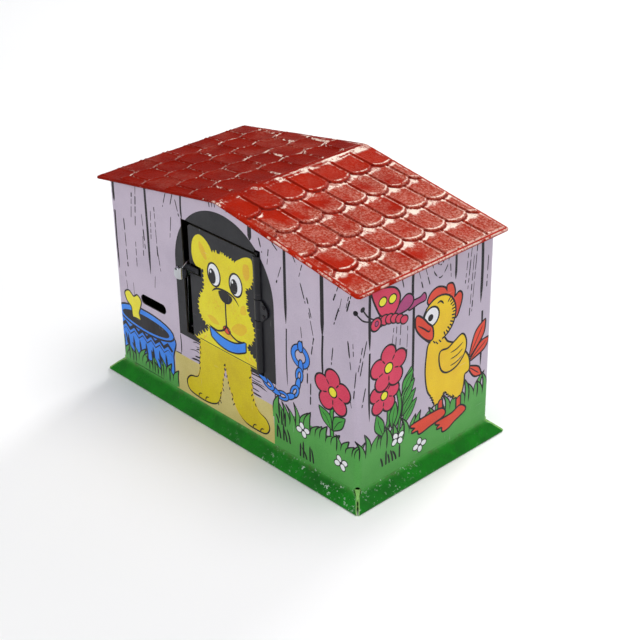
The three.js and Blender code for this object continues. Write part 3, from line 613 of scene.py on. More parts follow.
# ---- the right wall ----
def butterfly(art):
    for start, end in (((-29.5, 78.4), (-39.2, 84.8)), ((-28, 78.6), (-35.6, 85.8))):
        middle = ((start[0] + end[0]) / 2 - 0.6, (start[1] + end[1]) / 2 - 0.8)
        art.line([start, middle, end], 0.65, taper=(1, 0.8))
        art.fill("outline", ellipse(*end, 1.25, 1.1))
    art.blob("violet", [(-10.4, 79.2), (-5, 79.4), (-2.4, 80.4), (-1.8, 77.7), (-5.4, 77.4),
        (-10.6, 76.6)], 0.7)
    art.blob("violet", [(-18.2, 77.6), (-15.6, 81), (-12.2, 83.2), (-9.4, 82), (-9, 79.2), (-12.4, 77.2)],
        0.8)
    art.blob("pink", [(-30.6, 91.4), (-25.4, 90.6), (-19, 88.6), (-16.2, 84.8), (-17.2, 80.2),
        (-20.6, 77.4), (-24.4, 78.4), (-27.6, 83)])
    for x, z in ((-25, 85.2), (-19.8, 84.6)):
        art.shape("dot", ellipse(x, z, 1.8, 1.65), 0.55)
    for t in np.linspace(0, 1, 6):
        place = (-26.4 + 13.0 * t, 77.4 - 0.4 * t - 3.6 * t * t)
        art.shape("pink", ellipse(*place, 2.3 - 0.5 * t, 1.9 - 0.4 * t, -20), 0.65)
    art.shape("pink", ellipse(-28.6, 77, 2.4, 2.3), 0.8)
    art.shape("violet", ellipse(-28.2, 77.2, 0.7, 0.9), 0.4)


def chick_feet(art):
    for knee, ankle in (((8.2, 28.5), (8.6, 22.6)), ((19.2, 27.5), (19.4, 18.6))):
        art.line([knee, ankle], 3.6, taper=(1, 1), smooth=False)
        art.line([knee, ankle], 2, name="coral", taper=(1, 1), smooth=False)
    for foot in ([(10.8, 20.4), (9.6, 23.6), (3.6, 24.2), (-3.2, 24), (-8.6, 23.4), (-6, 21.6), (-8, 20.4),
            (-4.6, 19.9), (-3.4, 18), (2.8, 19)], [(23.6, 17.4), (20.4, 20.4), (15.2, 18.8), (6.2, 18.4),
            (8.6, 16.7), (6.8, 15.6), (9.8, 15), (10.4, 12.8), (13.6, 13), (17.2, 14.8)]):
        art.shape("coral", curve(foot))


def chick_tail(art):
    for tip, foot, width in (((34, 55.2), (25.2, 41.4), 2.5), ((37, 46.2), (25.6, 39.6), 2), ((32.6, 30.4),
            (24.6, 37), 1.8)):
        base, along = np.array(foot), np.subtract(tip, foot)
        bulge = np.array([-along[1], along[0]]) / np.linalg.norm(along) * width
        blade = [curve([base, base + along * 0.62 + side * bulge, base + along], False, 8)
            for side in (1, -1)]
        art.shape("coral", np.concatenate([blade[0], blade[1][-2:0:-1]]))
        art.line([base, base + along * 0.5, base + along * 0.85], 0.45)


def chick(art):
    """A plain chick with a comb, looking up at the butterfly."""
    chick_tail(art)
    chick_feet(art)
    art.blob("coral", [(0.6, 74.6), (0.8, 78.2), (4.6, 80), (8.8, 78.6), (10.6, 76.4), (10.8, 79),
        (13.4, 78.6), (14.8, 75.4), (14.8, 72.2), (17.6, 73.6), (19.2, 71.6), (18.2, 67.2), (15.6, 63.4),
        (11.6, 70.4)])
    body = curve([(1.4, 57.4), (-0.2, 52), (-0.6, 44), (0.8, 36), (3.8, 31.4), (5.4, 27.6), (8.6, 29.4),
        (10.6, 31.6), (14, 28.4), (17.6, 25.8), (20.8, 26.6), (22, 31), (22.4, 34.6), (25, 36),
        (24.4, 41.6), (21, 46.4), (16.8, 50.6), (11.6, 53.6), (8, 57.6)])
    art.shape("chick", furry(body, 0.7, 1.4, ((0.26, 0.52),), 0.3))
    head_x, head_z = 6.2, 66.2
    art.shape("chick", ellipse(head_x, head_z, 9.4, 9.6))
    art.fill("chick", curve([(2.2, 58.6), (2, 55.2), (7.6, 55.4), (8, 58.6), (5, 60)]))
    for i in range(13):
        angle = math.radians(-66 + 9.5 * i)
        c, s = math.cos(angle), math.sin(angle)
        art.line([(head_x + r * c, head_z + r * s) for r in (7.4 + 0.5 * (i % 2), 9.6)], 0.7, smooth=False)
    for x, z in ((3, 57.6), (4.6, 56.6), (6.4, 56.8), (9.6, 30.8), (15.4, 27.8)):
        art.line([(x, z), (x + 1.5, z - 1.7)], 0.6, smooth=False)
    art.shape("white", ellipse(1.9, 68.6, 3.9, 3.8))
    art.fill("outline", ellipse(1.4, 68.4, 1.5, 1.5))
    art.line([(5, 73.2), (7, 73.6), (8.8, 71.8)], 0.8)
    art.blob("coral", [(-6.4, 71.6), (-3.2, 69.6), (-0.2, 66.2), (2.4, 63.4), (2.6, 58.8), (-0.6, 59.8),
        (-4.4, 63.6), (-6.6, 67.4)])
    art.line([(-5.8, 67.6), (-2.6, 65.2), (0.6, 62.6), (1.4, 63.8)], 0.7)
    art.blob("chick", [(7.8, 50.6), (12, 50.4), (16.2, 52.2), (20.4, 53.6), (22.6, 49.6), (21.8, 44.8),
        (17.8, 41), (12.6, 40), (9, 42), (7.4, 46.4)])
    for z in (50, 47, 44):
        art.line([(20.9, z), (17.4, z - 1.6), (13.6, z - 2)], 0.6)


def right_wall(art):
    plank_lines(art, [(-31.7, 94, 67, 1.4), (-31.8, 66, 36, 1), (-8.6, 94, 80, 1.4), (-8.2, 78, 44, 1.4),
        (15.2, 94, 80, 1.3), (30.6, 94, 64, 1.6), (32, 60, 34, 1.1)])
    grain(art, [(-15, 92, -13.8, 87), (-6, 92, -3, 82), (-2, 91, 0.6, 83), (22.4, 89, 21, 76),
        (24.4, 91, 22.6, 73), (25.8, 87, 24, 60), (27.6, 91, 25.4, 62), (-33.4, 72, -37, 58),
        (-35.6, 70, -38, 60), (-19, 72, -20, 64), (-17.4, 72, -18, 61), (-15.2, 72, -15.6, 62),
        (-11.4, 70, -11.8, 57), (-34, 52, -36, 44), (12, 88, 12.6, 82), (34.4, 84, 34, 70)], 0.5)
    for half, drop in ((4.8, 8), (1.9, 2.6)):
        knot = curve([(6.4 - half, 93), (6.4 - half * 0.7, 92 - drop * 0.6), (6.6, 92 - drop),
            (6.8 + half * 0.7, 92 - drop * 0.55), (6.8 + half, 93)], False)
        for start in range(0, 24, 5):
            art.line(knot[start:start + 5], 0.6, smooth=False)
    lawn(art, 38.4)
    butterfly(art)
    grass_blades(art, -38, -24)
    grass_blades(art, -3, 38)
    frond(art, -13.4, 26, 51)
    stem(art, [(-20.6, 24), (-15.4, 33), (-16, 42), (-19, 48)], 1.3)
    stem(art, [(-25.4, 25), (-21.6, 31), (-21.4, 38)])
    leaf(art, (-24.2, 26), (-28, 37), 2.3, 0.4)
    leaf(art, (-19.6, 28), (-17.6, 38.6), 2, 0.2)
    grass_blades(art, -24, -5, 19, 8, 12)
    flower(art, -23.9, 44.2, 7.9, 84)
    flower(art, -21.6, 55.6, 9.6, 92)
    chick(art)
    daisy(art, -16.1, 21.3, 35)
    daisy(art, -3.4, 12.4, 5)
    grass_tuft(art, -24.6, 12, 6, 7.5)


# ---- the walls that face away, in the same hand ----
def plain_wall(art, half, flowers, daisies):
    for x in range(-half + 12, half - 4, 21):
        plank_lines(art, [(x, 101 - abs(x) * 0.17, rng.uniform(36, 60), rng.uniform(1.1, 1.8))])
    loose_grain(art, -half + 3, half - 3, half // 2)
    lawn(art, half)
    grass_blades(art, -half + 1, half - 1)
    for x, z, reach in flowers:
        growing_flower(art, x, z, reach)
    for x, z in daisies:
        daisy(art, x, z, rng.uniform(0, 60))
        grass_tuft(art, x + 8, z - 5, 4, 7)


# ---- the door's picture ----
def puppy(art):
    """The puppy's chest, ears and head, and then its face."""
    chest = curve([(-18.6, 37.9), (-17, 40.6), (-11.8, 44.6), (-9.4, 47.5), (11.2, 48.5), (13, 45.6),
        (17.4, 42.2), (20.2, 39), (18.4, 37.9), (0, 37.9)])
    art.fill("yellow", furry(chest, 1.4, 1.5, ((0, 0.2), (0.44, 0.62)), 0.5))
    # A thin dark line just above the door's bottom edge: a painted shadow gap under the door.
    art.line([(-17.4, 38.9), (0, 38.8), (18, 38.9)], 0.4, taper=(1, 1))
    for points in ([(12.4, 44.2), (15, 41.6), (17.8, 40.2)], [(10.4, 42), (12.8, 40.2), (15, 39.2)],
            [(-12.6, 42.6), (-14.4, 40.2), (-15.6, 39)]):
        art.line(points, 0.5, name="amber")
    left_ear = curve([(-14.2, 87.6), (-9, 85.4), (-6.6, 80.6), (-8.4, 74.8), (-12.6, 72.7), (-17.8, 72.9),
        (-19.8, 77.4), (-18.6, 84.2)])
    right_ear = curve([(6.8, 81.4), (10.6, 85.2), (14.4, 87.2), (17.4, 87), (18, 82.6), (17.4, 77.6),
        (14.6, 73.6), (10.6, 75)])
    art.fill("yellow", furry(left_ear, 0.5, 1.5, ((0.45, 0.62),), 0.3))
    art.fill("yellow", furry(right_ear, 1.2, 1.3, ((0.5, 0.85),), 0.6))
    head = furry(mirrored(curve([(0, 47), (6.8, 46.4), (13.6, 48), (17.2, 52.6), (16.4, 58.4), (13.4, 64),
        (13.2, 70), (12.4, 76.6), (8.2, 81.6), (0, 83.4)], False), 0.2), 1.3, 1.15,
        ((0.1, 0.38), (0.43, 0.57), (0.62, 0.9)))
    art.fill("yellow", head)
    for _ in range(40):
        x, z = rng.uniform(-12, 12), rng.uniform(49, 81)
        art.line([(x, z), (x + rng.uniform(-0.4, 0.4), z - rng.uniform(0.8, 1.8))], 0.22, name="amber",
            smooth=False)
    for tint in ([(-14.4, 84.6), (-11.4, 82), (-10.4, 77.6), (-12.6, 78.4), (-14.8, 81.6)], [(12.4, 83.2),
            (15.4, 83.8), (15.8, 79.2), (13.6, 76.8), (12, 79.4)], [(3.4, 51), (8.6, 50), (12.8, 53.4),
            (12, 56), (7, 55)], [(-4.2, 50.4), (-8.4, 49.6), (-11.6, 51.8), (-8, 52.8)],
            [(9.6, 60.6), (13, 61.4), (12.4, 65), (10, 63.8)], [(-3.8, 47.2), (0.4, 48.4), (4.4, 47.2),
            (0.4, 45.6)]):
        art.fill("amber", curve(tint))
    puppy_face(art)


def puppy_face(art):
    """Mouth, collar, jowls, eyes and nose."""
    art.blob("coral", [(-1.8, 49.6), (0.3, 51.2), (2.6, 49.4), (0.6, 48)], 0.4)
    collar = np.concatenate([curve([(-10.4, 47), (-4.6, 45.2), (0.6, 44.6), (6, 45.2), (11.8, 48)], False),
        curve([(11.6, 43.8), (6, 41.2), (0.6, 40.3), (-4.8, 41), (-9.4, 43)], False)])
    art.shape("blue", collar, 0.75)
    for side in (-1, 1):
        art.line([(0.3 + side * x, z) for x, z in ((0, 51.4), (2, 48.8), (6.4, 47), (11.6, 48))], 0.9,
            taper=(1, 0.1))
        for x, z in ((4.6, 58.8), (6.4, 57.4), (7.8, 59.2), (5.8, 60.4)):
            art.fill("amber", ellipse(0.3 + side * x, z, 0.32, 0.32, 0, 8))
        art.shape("white", ellipse(0.5 + side * 6.7, 72.4, 3.5, 4.7, -4 * side), 0.8)
        art.fill("outline", ellipse(-0.6 + side * 6.7, 71.4, 2.2, 3.4, -4 * side))
        art.fill("white", ellipse(-1.5 + side * 6.7, 73.2, 0.5, 0.7))
    art.line([(0.3, 62.4), (0.2, 56.8), (0.3, 51.2)], 0.9, taper=(1, 1))
    art.line([(-8, 64.4), (-5, 66.6), (0.4, 67.4), (5.6, 66.4), (8.8, 63.4)], 0.9)
    art.fill("outline", curve([(-3.8, 66), (0.4, 67), (4.6, 65.8), (3.6, 63), (0.6, 61.6), (-2.6, 62.8)]))


# ======== Mesh building ========
def new_object(name, points, faces, materials, replaced, slot, body="house", indices=None):
    """A smooth mesh object from points in mm, riding on a body, in place of a CAD node if one is given."""
    mesh = bpy.data.meshes.new(name)
    mesh.from_pydata([tuple(c * MM for c in p) for p in points], [], faces)
    for material in materials:
        mesh.materials.append(material)
    if indices is not None:
        mesh.polygons.foreach_set("material_index", np.array(indices, dtype=np.int32))
    mesh.polygons.foreach_set("use_smooth", [True] * len(mesh.polygons))
    mesh.update()
    obj = bpy.data.objects.new(name, mesh)
    bpy.context.scene.collection.objects.link(obj)
    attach(obj, body)
    if replaced:
        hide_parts(replaced)
    return obj


def in_space(axis, u, v, w):
    """A point drawn at (u, v) and w along an axis."""
    return {"x": (w, u, v), "y": (u, w, v), "z": (u, v, w)}[axis]


def tube(count, ring):
    """The faces between neighbouring rings of points, for a run of count rings."""
    return [(i + k, i + (k + 1) % ring, i + ring + (k + 1) % ring, i + ring + k)
        for i in range(0, (count - 1) * ring, ring) for k in range(ring)]


def slab(name, outline, axis, low, high, material, replaced, slot, body="house", round_off=0.16):
    """An outline extruded along an axis, its edges rounded. It is drawn in the other two axes."""
    outline = np.array(outline, float)
    x, z = outline[:, 0], outline[:, 1]
    if (np.sum(x * np.roll(z, -1) - z * np.roll(x, -1)) > 0) == (axis == "y"):
        outline = outline[::-1]
    count = len(outline)
    points = [in_space(axis, u, v, w) for w in (low, high) for u, v in outline]
    faces = [tuple(range(count))[::-1], tuple(range(count, 2 * count)), *tube(2, count)]
    obj = new_object(name, points, faces, [material], replaced, slot, body)
    bevel = obj.modifiers.new("edges", "BEVEL")
    bevel.width, bevel.segments, bevel.limit_method = round_off * MM, 3, "ANGLE"
    bevel.angle_limit, bevel.harden_normals = math.radians(40), True
    return obj


def bent(path, thick=TIN):
    """The outline of a strip of sheet whose left side follows the path."""
    path = np.array(path, float)
    return np.concatenate([path, (path - side_vectors(path, False) * thick)[::-1]])


def arc(x, z, radius, start, end, count=20):
    """Points round a circle, angles in degrees."""
    angles = np.radians(np.linspace(start, end, count))
    return [(x + radius * math.cos(a), z + radius * math.sin(a)) for a in angles]


def turned(name, profile, axis, centre, material, replaced, slot, count=40):
    """A solid of revolution: profile is (radius, distance along the axis), ends on the axis."""
    points, rings = [], []
    for radius, along in profile:
        ring = []
        for k in range(count if radius > 1e-6 else 1):
            angle = 2 * math.pi * k / count
            u, v = centre[0] + radius * math.cos(angle), centre[1] + radius * math.sin(angle)
            ring.append(len(points))
            points.append(in_space(axis, u, v, along))
        rings.append(ring)
    faces = []
    for low, high in zip(rings, rings[1:]):
        for k in range(count):
            m = (k + 1) % count
            quad = [low[k % len(low)], low[m % len(low)], high[m % len(high)], high[k % len(high)]]
            face = list(dict.fromkeys(quad))
            faces.append(tuple(face if axis == "y" else face[::-1]))
    return new_object(name, points, faces, [material], replaced, slot)


def domed_pin(name, axis, centre, shaft, head, ends, thick, material, replaced, slot):
    """A pin with a domed head at each end, the heads inside the pin's ends."""
    angles = np.linspace(0, math.pi / 2, 7)
    low, high = ends
    first = [(head * math.sin(a), low + thick * (1 - math.cos(a))) for a in angles]
    second = [(head * math.sin(a), high - thick * (1 - math.cos(a))) for a in angles[::-1]]
    profile = [*first, (shaft, low + thick + 0.02), (shaft, high - thick - 0.02), *second]
    return turned(name, profile, axis, centre, material, replaced, slot)


def inside(points, outline):
    """Which points lie inside a closed outline (non-zero winding)."""
    hit = np.zeros(len(points), bool)
    chosen = np.nonzero(np.all((points >= outline.min(0)) & (points <= outline.max(0)), 1))[0]
    if len(chosen):
        px, pz = points[chosen, 0][:, None], points[chosen, 1][:, None]
        ax, az = outline[:, 0][None], outline[:, 1][None]
        bx, bz = np.roll(outline[:, 0], -1)[None], np.roll(outline[:, 1], -1)[None]
        side = (bx - ax) * (pz - az) - (px - ax) * (bz - az)
        up = (az <= pz) & (bz > pz) & (side > 0)
        down = (az > pz) & (bz <= pz) & (side < 0)
        hit[chosen] = up.sum(1) != down.sum(1)
    return hit


def divided(outline, holes, art, ground, guides):
    """A flat sheet cut along the edges of its inks: points, triangles and each triangle's ink."""
    verts, edges = [], []
    for loop in [outline, *holes, *[points for _, points in art.layers]]:
        first, count = len(verts), len(loop)
        verts.extend((float(u), float(v)) for u, v in loop)
        edges.extend((first + i, first + (i + 1) % count) for i in range(count))
    for u in guides:
        verts.extend([(u, 0.0), (u, 140.0)])
        edges.append((len(verts) - 2, len(verts) - 1))
    flat, _, faces, _, _, _ = delaunay_2d_cdt([Vector(v) for v in verts], edges, [], 0, 2e-3, False)
    flat, faces = np.array([(v.x, v.y) for v in flat]), np.array(faces)
    middles = flat[faces].mean(1)
    keep = inside(middles, np.array(outline, float))
    for hole in holes:
        keep &= ~inside(middles, np.array(hole, float))
    faces, middles = faces[keep], middles[keep]
    inks = np.full(len(faces), INK_ORDER.index(ground))
    for ink_name, points in art.layers:
        inks[inside(middles, points)] = INK_ORDER.index(ink_name)
    used = np.unique(faces)
    renumber = np.full(len(flat), -1)
    renumber[used] = np.arange(len(used))
    return flat[used], renumber[faces], inks


def printed_sheet(name, outline, holes, art, place, ground, replaced, slot, body="house", guides=()):
    """A thin closed sheet whose outer face is divided along the edges of the printed inks.

    outline, holes and the print are in the sheet's own flat coordinates (mm). place(u, v)
    gives (point, outward normal) in space. guides are lines that the faces must follow.
    """
    flat, faces, inks = divided(outline, holes, art, ground, guides)
    placed = [place(u, v) for u, v in flat]
    outer = np.array([p for p, _ in placed])
    normals = np.array([n for _, n in placed])
    a, b, c = outer[faces[:, 0]], outer[faces[:, 1]], outer[faces[:, 2]]
    backwards = np.einsum("ij,ij->i", np.cross(b - a, c - a), normals[faces[:, 0]]) < 0
    faces[backwards] = faces[backwards][:, ::-1]

    count = len(outer)
    directed = {(int(f[k]), int(f[(k + 1) % 3])) for f in faces for k in range(3)}
    rim = sorted((p, q) for p, q in directed if (q, p) not in directed)
    all_faces = [tuple(map(int, f)) for f in faces]
    all_faces += [tuple(int(i) + count for i in f[::-1]) for f in faces]
    all_faces += [(q, p, p + count, q + count) for p, q in rim]
    slots = list(inks) + [len(INK_ORDER)] * (len(faces) + len(rim))
    points = np.concatenate([outer, outer - normals * TIN])
    obj = new_object(name, points, all_faces, [*INKS.values(), INSIDE], replaced, slot, body, slots)
    corner_normals = []
    for polygon in obj.data.polygons:
        for vertex in polygon.vertices:
            facing = normals[vertex % count] * (1 if vertex < count else -1)
            corner_normals.append(polygon.normal if len(polygon.vertices) == 4 else facing)
    obj.data.normals_split_custom_set(corner_normals)


# ======== The walls and their skirt ========
def round_the_house(u, v):
    """Point and normal of the walls' outer face, u mm round from the front's middle at height v."""
    long, short = 2 * WALL_X, 2 * WALL_Y
    sides = [((-WALL_X, -WALL_Y), (1, 0), long), ((WALL_X, -WALL_Y), (0, 1), short), ((WALL_X, WALL_Y),
        (-1, 0), long), ((-WALL_X, WALL_Y), (0, -1), short)]
    along = (u + WALL_X) % ROUND
    for (x, y), (dx, dy), length in sides:
        if along <= length:
            break
        along -= length
    normal, tangent, start = Vector((dy, -dx, 0)), Vector((dx, dy, 0)), Vector((x, y, v))
    to_end = min(along, length - along)
    if to_end >= CORNER:
        point = start + tangent * along
    else:
        turn = math.radians(45) * (1 - to_end / CORNER) * (-1 if along < CORNER else 1)
        centre = start + tangent * (CORNER if along < CORNER else length - CORNER) - normal * CORNER
        normal = Matrix.Rotation(turn, 3, "Z") @ normal
        point = centre + normal * CORNER
    lap = LAP_HEIGHT * min(1.0, max(0.0, (u - SEAM_AT + LAP_WIDTH) / LAP_STEP))
    return point + normal * lap, normal


def wall_top(u):
    """Height of the walls' top edge, under the roof."""
    return WALL_TOP - WALL_SLOPE * min(abs(u), abs(u - TO_BACK), abs(u + TO_BACK), WALL_X)


def rectangle(x0, x1, z0, z1):
    return [(x0, z0), (x1, z0), (x1, z1), (x0, z1)]


def wall_art():
    """The print on the walls' one long sheet: front, right, back and left."""
    art = Print()
    front_wall(art)
    art.centre = WALL_X + WALL_Y
    right_wall(art)
    art.centre = TO_BACK
    plain_wall(art, 75, [(-48, 47, 9), (-36, 38, 7.2), (30, 42, 8.4), (52, 50, 9.6)],
        [(-60, 18), (-22, 14), (4, 20), (20, 12), (44, 16), (66, 20)])
    art.centre = -(WALL_X + WALL_Y)
    plain_wall(art, 38, [(-14, 50, 9.4), (-1, 40, 7.6)], [(-28, 17), (8, 15), (29, 20)])
    art.centre = TO_BACK - ROUND
    lawn(art, 75)
    grass_blades(art, 63, 74)
    return art


def walls():
    start, end = SEAM_AT - ROUND, SEAM_AT
    corners = [-WALL_X - 2 * WALL_Y, -WALL_X, WALL_X, WALL_X + 2 * WALL_Y]
    outline = [(start, SKIRT_START)]
    for corner in corners:
        outline += arc(corner, SKIRT_START, RELIEF, 180, 0, 11)
    outline.append((end, SKIRT_START))
    tops = [end, 3 * WALL_X + 2 * WALL_Y, TO_BACK, *corners[:1:-1], 0, *corners[1::-1], start]
    outline += [(u, wall_top(u)) for u in tops if start <= u <= end]
    guides = [corner + share * CORNER for corner in corners for share in np.linspace(-1, 1, 13)]
    guides += [end - LAP_WIDTH, end - LAP_WIDTH + LAP_STEP]
    x0, x1, z0, z1 = SLOT
    radius = (z1 - z0) / 2
    slot = arc(x1 - radius, z0 + radius, radius, -90, 90, 11)
    slot += arc(x0 + radius, z0 + radius, radius, 90, 270, 11)
    holes = [rectangle(*OPENING), rectangle(*HINGE_RELIEF), slot]
    printed_sheet("wall_sheet", outline, holes, wall_art(), round_the_house, "lilac", "house_walls",
        "wall_print", guides=guides)


def skirt_profile():
    """Points (out, up) down the skirt's outer face from the wall, round the hem and inwards."""
    line = [(0.0, SKIRT_START), (0.02, 7.4), (0.25, 6.8), (0.75, 6.2)]
    foot_out, foot_up = SKIRT_OUT - 0.35, SKIRT_EDGE + 0.35
    line += [(0.75 + (foot_out - 0.75) * t, 6.2 + (foot_up - 6.2) * t) for t in np.linspace(0.15, 1, 7)]
    line += arc(SKIRT_OUT - 0.62, 0.62, 0.62, 40, -90, 7)
    return line + [(SKIRT_OUT - 2.5, 0.0), (SKIRT_OUT - 4.4, 0.05)]


def skirt_flange(name, normal, half, reach):
    """One side's flared flange, a closed strip with mitred ends and a round at its corners."""
    steps, thick, round_drop = 120, 0.45, 2.6
    normal = Vector(normal)
    tangent = Vector((-normal.y, normal.x, 0))
    outer = np.array(skirt_profile())
    slopes = np.gradient(outer, axis=0)
    slopes /= np.linalg.norm(slopes, axis=1, keepdims=True)
    inner = outer + np.stack([slopes[:, 1], -slopes[:, 0]], 1) * thick
    loop = [*outer, *inner[::-1]]
    points = []
    for share in np.linspace(-1, 1, steps + 1):
        for out, up in loop:
            end = half + out - SKIRT_SLIT * 0.7
            drop = SKIRT_START - up
            if drop < round_drop and out < 3:
                end -= RELIEF * math.sqrt(max(0.0, 1 - (max(drop, 0) / round_drop) ** 2))
            along = share * end
            dents = 0.12 * noise.noise(Vector((along * 0.06, half, out * 0.2)))
            dents += 0.07 * noise.noise(Vector((along * 0.3, half, out * 0.8)))
            lift = dents * min(1.0, max(out, 0.0) / 2) if up > 0.7 else 0.0
            points.append(normal * (reach + out + lift) + tangent * along + Vector((0, 0, up)))
    ring, edge = len(loop), len(outer)
    faces = tube(steps + 1, ring)
    last = steps * ring
    for k in range(edge - 1):
        faces.append((k + 1, k, ring - 1 - k, ring - 2 - k))
        faces.append((last + k, last + k + 1, last + ring - 2 - k, last + ring - 1 - k))
    new_object(name, points, faces, [GREEN], "house_walls", "base_print")


def skirt():
    for name, x, y in (("front", 0, -1), ("right", 1, 0), ("back", 0, 1), ("left", -1, 0)):
        half, reach = (WALL_X, WALL_Y) if y else (WALL_Y, WALL_X)
        skirt_flange("skirt_" + name, (x, y, 0), half, reach)
    for side_x, side_y in ((1, -1), (1, 1), (-1, 1), (-1, -1)):
        corner_gusset(side_x, side_y)


def corner_gusset(side_x, side_y):
    """The base's pale corner, showing through the round at the top of a skirt's slit."""
    stations = [(0.0, SKIRT_START + 0.5), (0.0, SKIRT_START - 0.4), (0.05, 7.2), (0.3, 6.6), (0.9, 5.9),
        (1.7, 5.2), (2.6, 4.3)]
    points = []
    for i, (out, up) in enumerate(stations):
        wing = 2.5 - 0.32 * i
        x, y = WALL_X + out - 0.3, WALL_Y + out - 0.3
        section = [(x - wing, y), (x - 0.9, y), (x - 0.27, y - 0.27), (x, y - 0.9), (x, y - wing)]
        section += [(a - 0.5, b - 0.5) for a, b in section[::-1]]
        points += [(side_x * a, side_y * b, up) for a, b in section]
    ring = len(section)
    faces = tube(len(stations), ring)
    faces += [tuple(range(ring))[::-1], tuple(range(len(points) - ring, len(points)))]
    if side_x * side_y < 0:
        faces = [face[::-1] for face in faces]
    name = f"base_corner_{'right' if side_x > 0 else 'left'}_{'back' if side_y > 0 else 'front'}"
    new_object(name, points, faces, [EDGE_GREEN], None, "base_print")


# ======== The roof ========
TILE_WIDTH, TILE_PITCH, TILE_FIRST, TILE_ROWS, TILE_SHIFT = 14.5, 19.05, 21.0, 6, 7.8
ROOF_LENGTH = math.hypot(ROOF_X, ROOF_RIDGE - ROOF_EAVE)


def smoothstep(low, high, value):
    t = np.clip((value - low) / (high - low), 0, 1)
    return t * t * (3 - 2 * t)


def bell(value, width):
    return np.exp(-(value / width) ** 2)


def shingles(y, v, glint_and_wear_amount):
    """Height, painted light and wear, and rub of the embossed shingles; y mm along the ridge, v mm down
    the slope.
    """
    height, painted_light_and_wear, rub, tip_glint_and_shadow = (np.zeros_like(v) for _ in range(4))
    free = np.ones(v.shape, bool)
    radius = TILE_WIDTH / 2
    for row in range(TILE_ROWS):
        tip = TILE_FIRST + row * TILE_PITCH
        column = (y + TILE_SHIFT) / TILE_WIDTH + row / 2
        local = column % 1 * TILE_WIDTH - radius
        edge = tip - 0.76 * (radius - np.sqrt(np.maximum(radius ** 2 - local ** 2, 0))) - v
        side = radius - np.abs(local)
        near = np.minimum(np.maximum(edge, 0), side)
        rise = smoothstep(-0.5, 0.2, edge)
        lift = 0.15 + 1.05 * np.exp(-np.maximum(edge, 0) / 9) + 0.3 * bell(near - 1.2, 0.6)
        chance = np.modf(np.floor(column) * 0.618 + row * 0.37 + 9)[0]
        # A painted highlight in the pocket below the cusp between two tiles.
        pocket = bell(edge - TILE_PITCH - 0.6, 2.2 + chance)
        pocket *= bell(local - 1.4 * chance, 2 + 1.6 * chance) * (0.45 + 0.75 * chance) * glint_and_wear_amount * (row > 0)
        # Pale along the tip's inner rim, the raised border and the tile's right side: painted highlight,
        # with some rubbed-through paint.
        pale = 0.20 * bell(near - 1.2, 0.4) + 0.24 * bell(edge - 1, 0.5) + 0.8 * pocket
        pale += (0.3 + 0.25 * chance) * bell(radius - local - 0.3, 0.4)
        # Painted shade: dark in the joint at the tile's left side and just past its tip.
        painted_crease_shade = 0.75 * bell(radius + local - 0.7, 0.45) + 0.95 * (1 - rise)
        rubbed = 0.12 if row == 0 else 0.6 + 0.4 * smoothstep(9, 2, edge)
        here = free & (edge > -0.5)
        height[here] = ((lift - 0.65 * bell(side, 0.5)) * rise)[here]
        painted_light_and_wear[here] = (pale - painted_crease_shade)[here]
        rub[here] = (rise * rubbed)[here]
        free &= ~here
        # Below each tip: a pale crescent on its right shoulder (painted highlight) and a thin dark line
        # under the lip (painted shadow).
        below = free & (edge > -3.4)
        shoulder = smoothstep(-0.5 * radius, 0, local) * smoothstep(0.95 * radius, 0.6 * radius, local)
        tip_glint_and_shadow[below] += (0.75 * bell(edge + 1.8, 0.8) * shoulder - 0.8 * bell(edge + 0.7, 0.4))[below]
    return height, painted_light_and_wear + tip_glint_and_shadow, rub


def roof_surface(y, v):
    """Height above the plain slope, painted light and wear, and rub, with the flat rims and the ridge."""
    to_rim = np.minimum(ROOF_LENGTH - np.abs(v), ROOF_Y - np.abs(y))
    # How strong the pale marks are: stronger toward the back of the right slope, where the painted glints
    # gather.
    glint_and_wear_amount = np.where(v > 0, 0.4 + 0.6 * smoothstep(-42, 18, y + 0.25 * v), 0.35)
    height, painted_light_and_wear, rub = shingles(np.where(v > 0, y, -y), np.abs(v), glint_and_wear_amount)
    blend = smoothstep(1.9, 2.6, to_rim) * smoothstep(2.6, 3.4, np.abs(v))
    height = height * blend + 0.45 * (1 - blend) - 0.45 * bell(to_rim, 0.35)
    # Pale lines by the ridge band, along the rim's edges and just down the right slope from the ridge:
    # painted highlights, with some worn paint.
    painted_light_and_wear = painted_light_and_wear * blend + 0.40 * glint_and_wear_amount * bell(np.abs(v) - 3.6, 0.45) + 0.36 * bell(to_rim - 0.3, 0.35)
    painted_light_and_wear += 0.26 * bell(to_rim - 2.2, 0.4) + glint_and_wear_amount * (0.6 * bell(v - 0.9, 1.0) + 0.25 * bell(v - 3, 2.2))
    return height - 0.95, painted_light_and_wear, rub * blend


def roof_place(y, v, height):
    """Points on the roof, from mm along the ridge, down the slope (either side) and above it."""
    cosine, sine = ROOF_X / ROOF_LENGTH, (ROOF_RIDGE - ROOF_EAVE) / ROOF_LENGTH
    past_y = np.maximum(np.abs(y) - (ROOF_Y - ROOF_CORNER), 0)
    past_v = np.maximum(np.abs(v) - (ROOF_LENGTH - ROOF_CORNER), 0)
    pull = 1 - np.maximum(past_y, past_v) / np.maximum(np.hypot(past_y, past_v), 1e-9)
    y = y - np.sign(y) * past_y * pull
    v = v - np.sign(v) * past_v * pull
    fall = np.sqrt(v * v + 0.8) - math.sqrt(0.8)
    x, z = v * cosine + np.sign(v) * height * sine, ROOF_RIDGE - fall * sine + height * cosine
    return np.stack([x, y, z], -1).reshape(-1, 3)


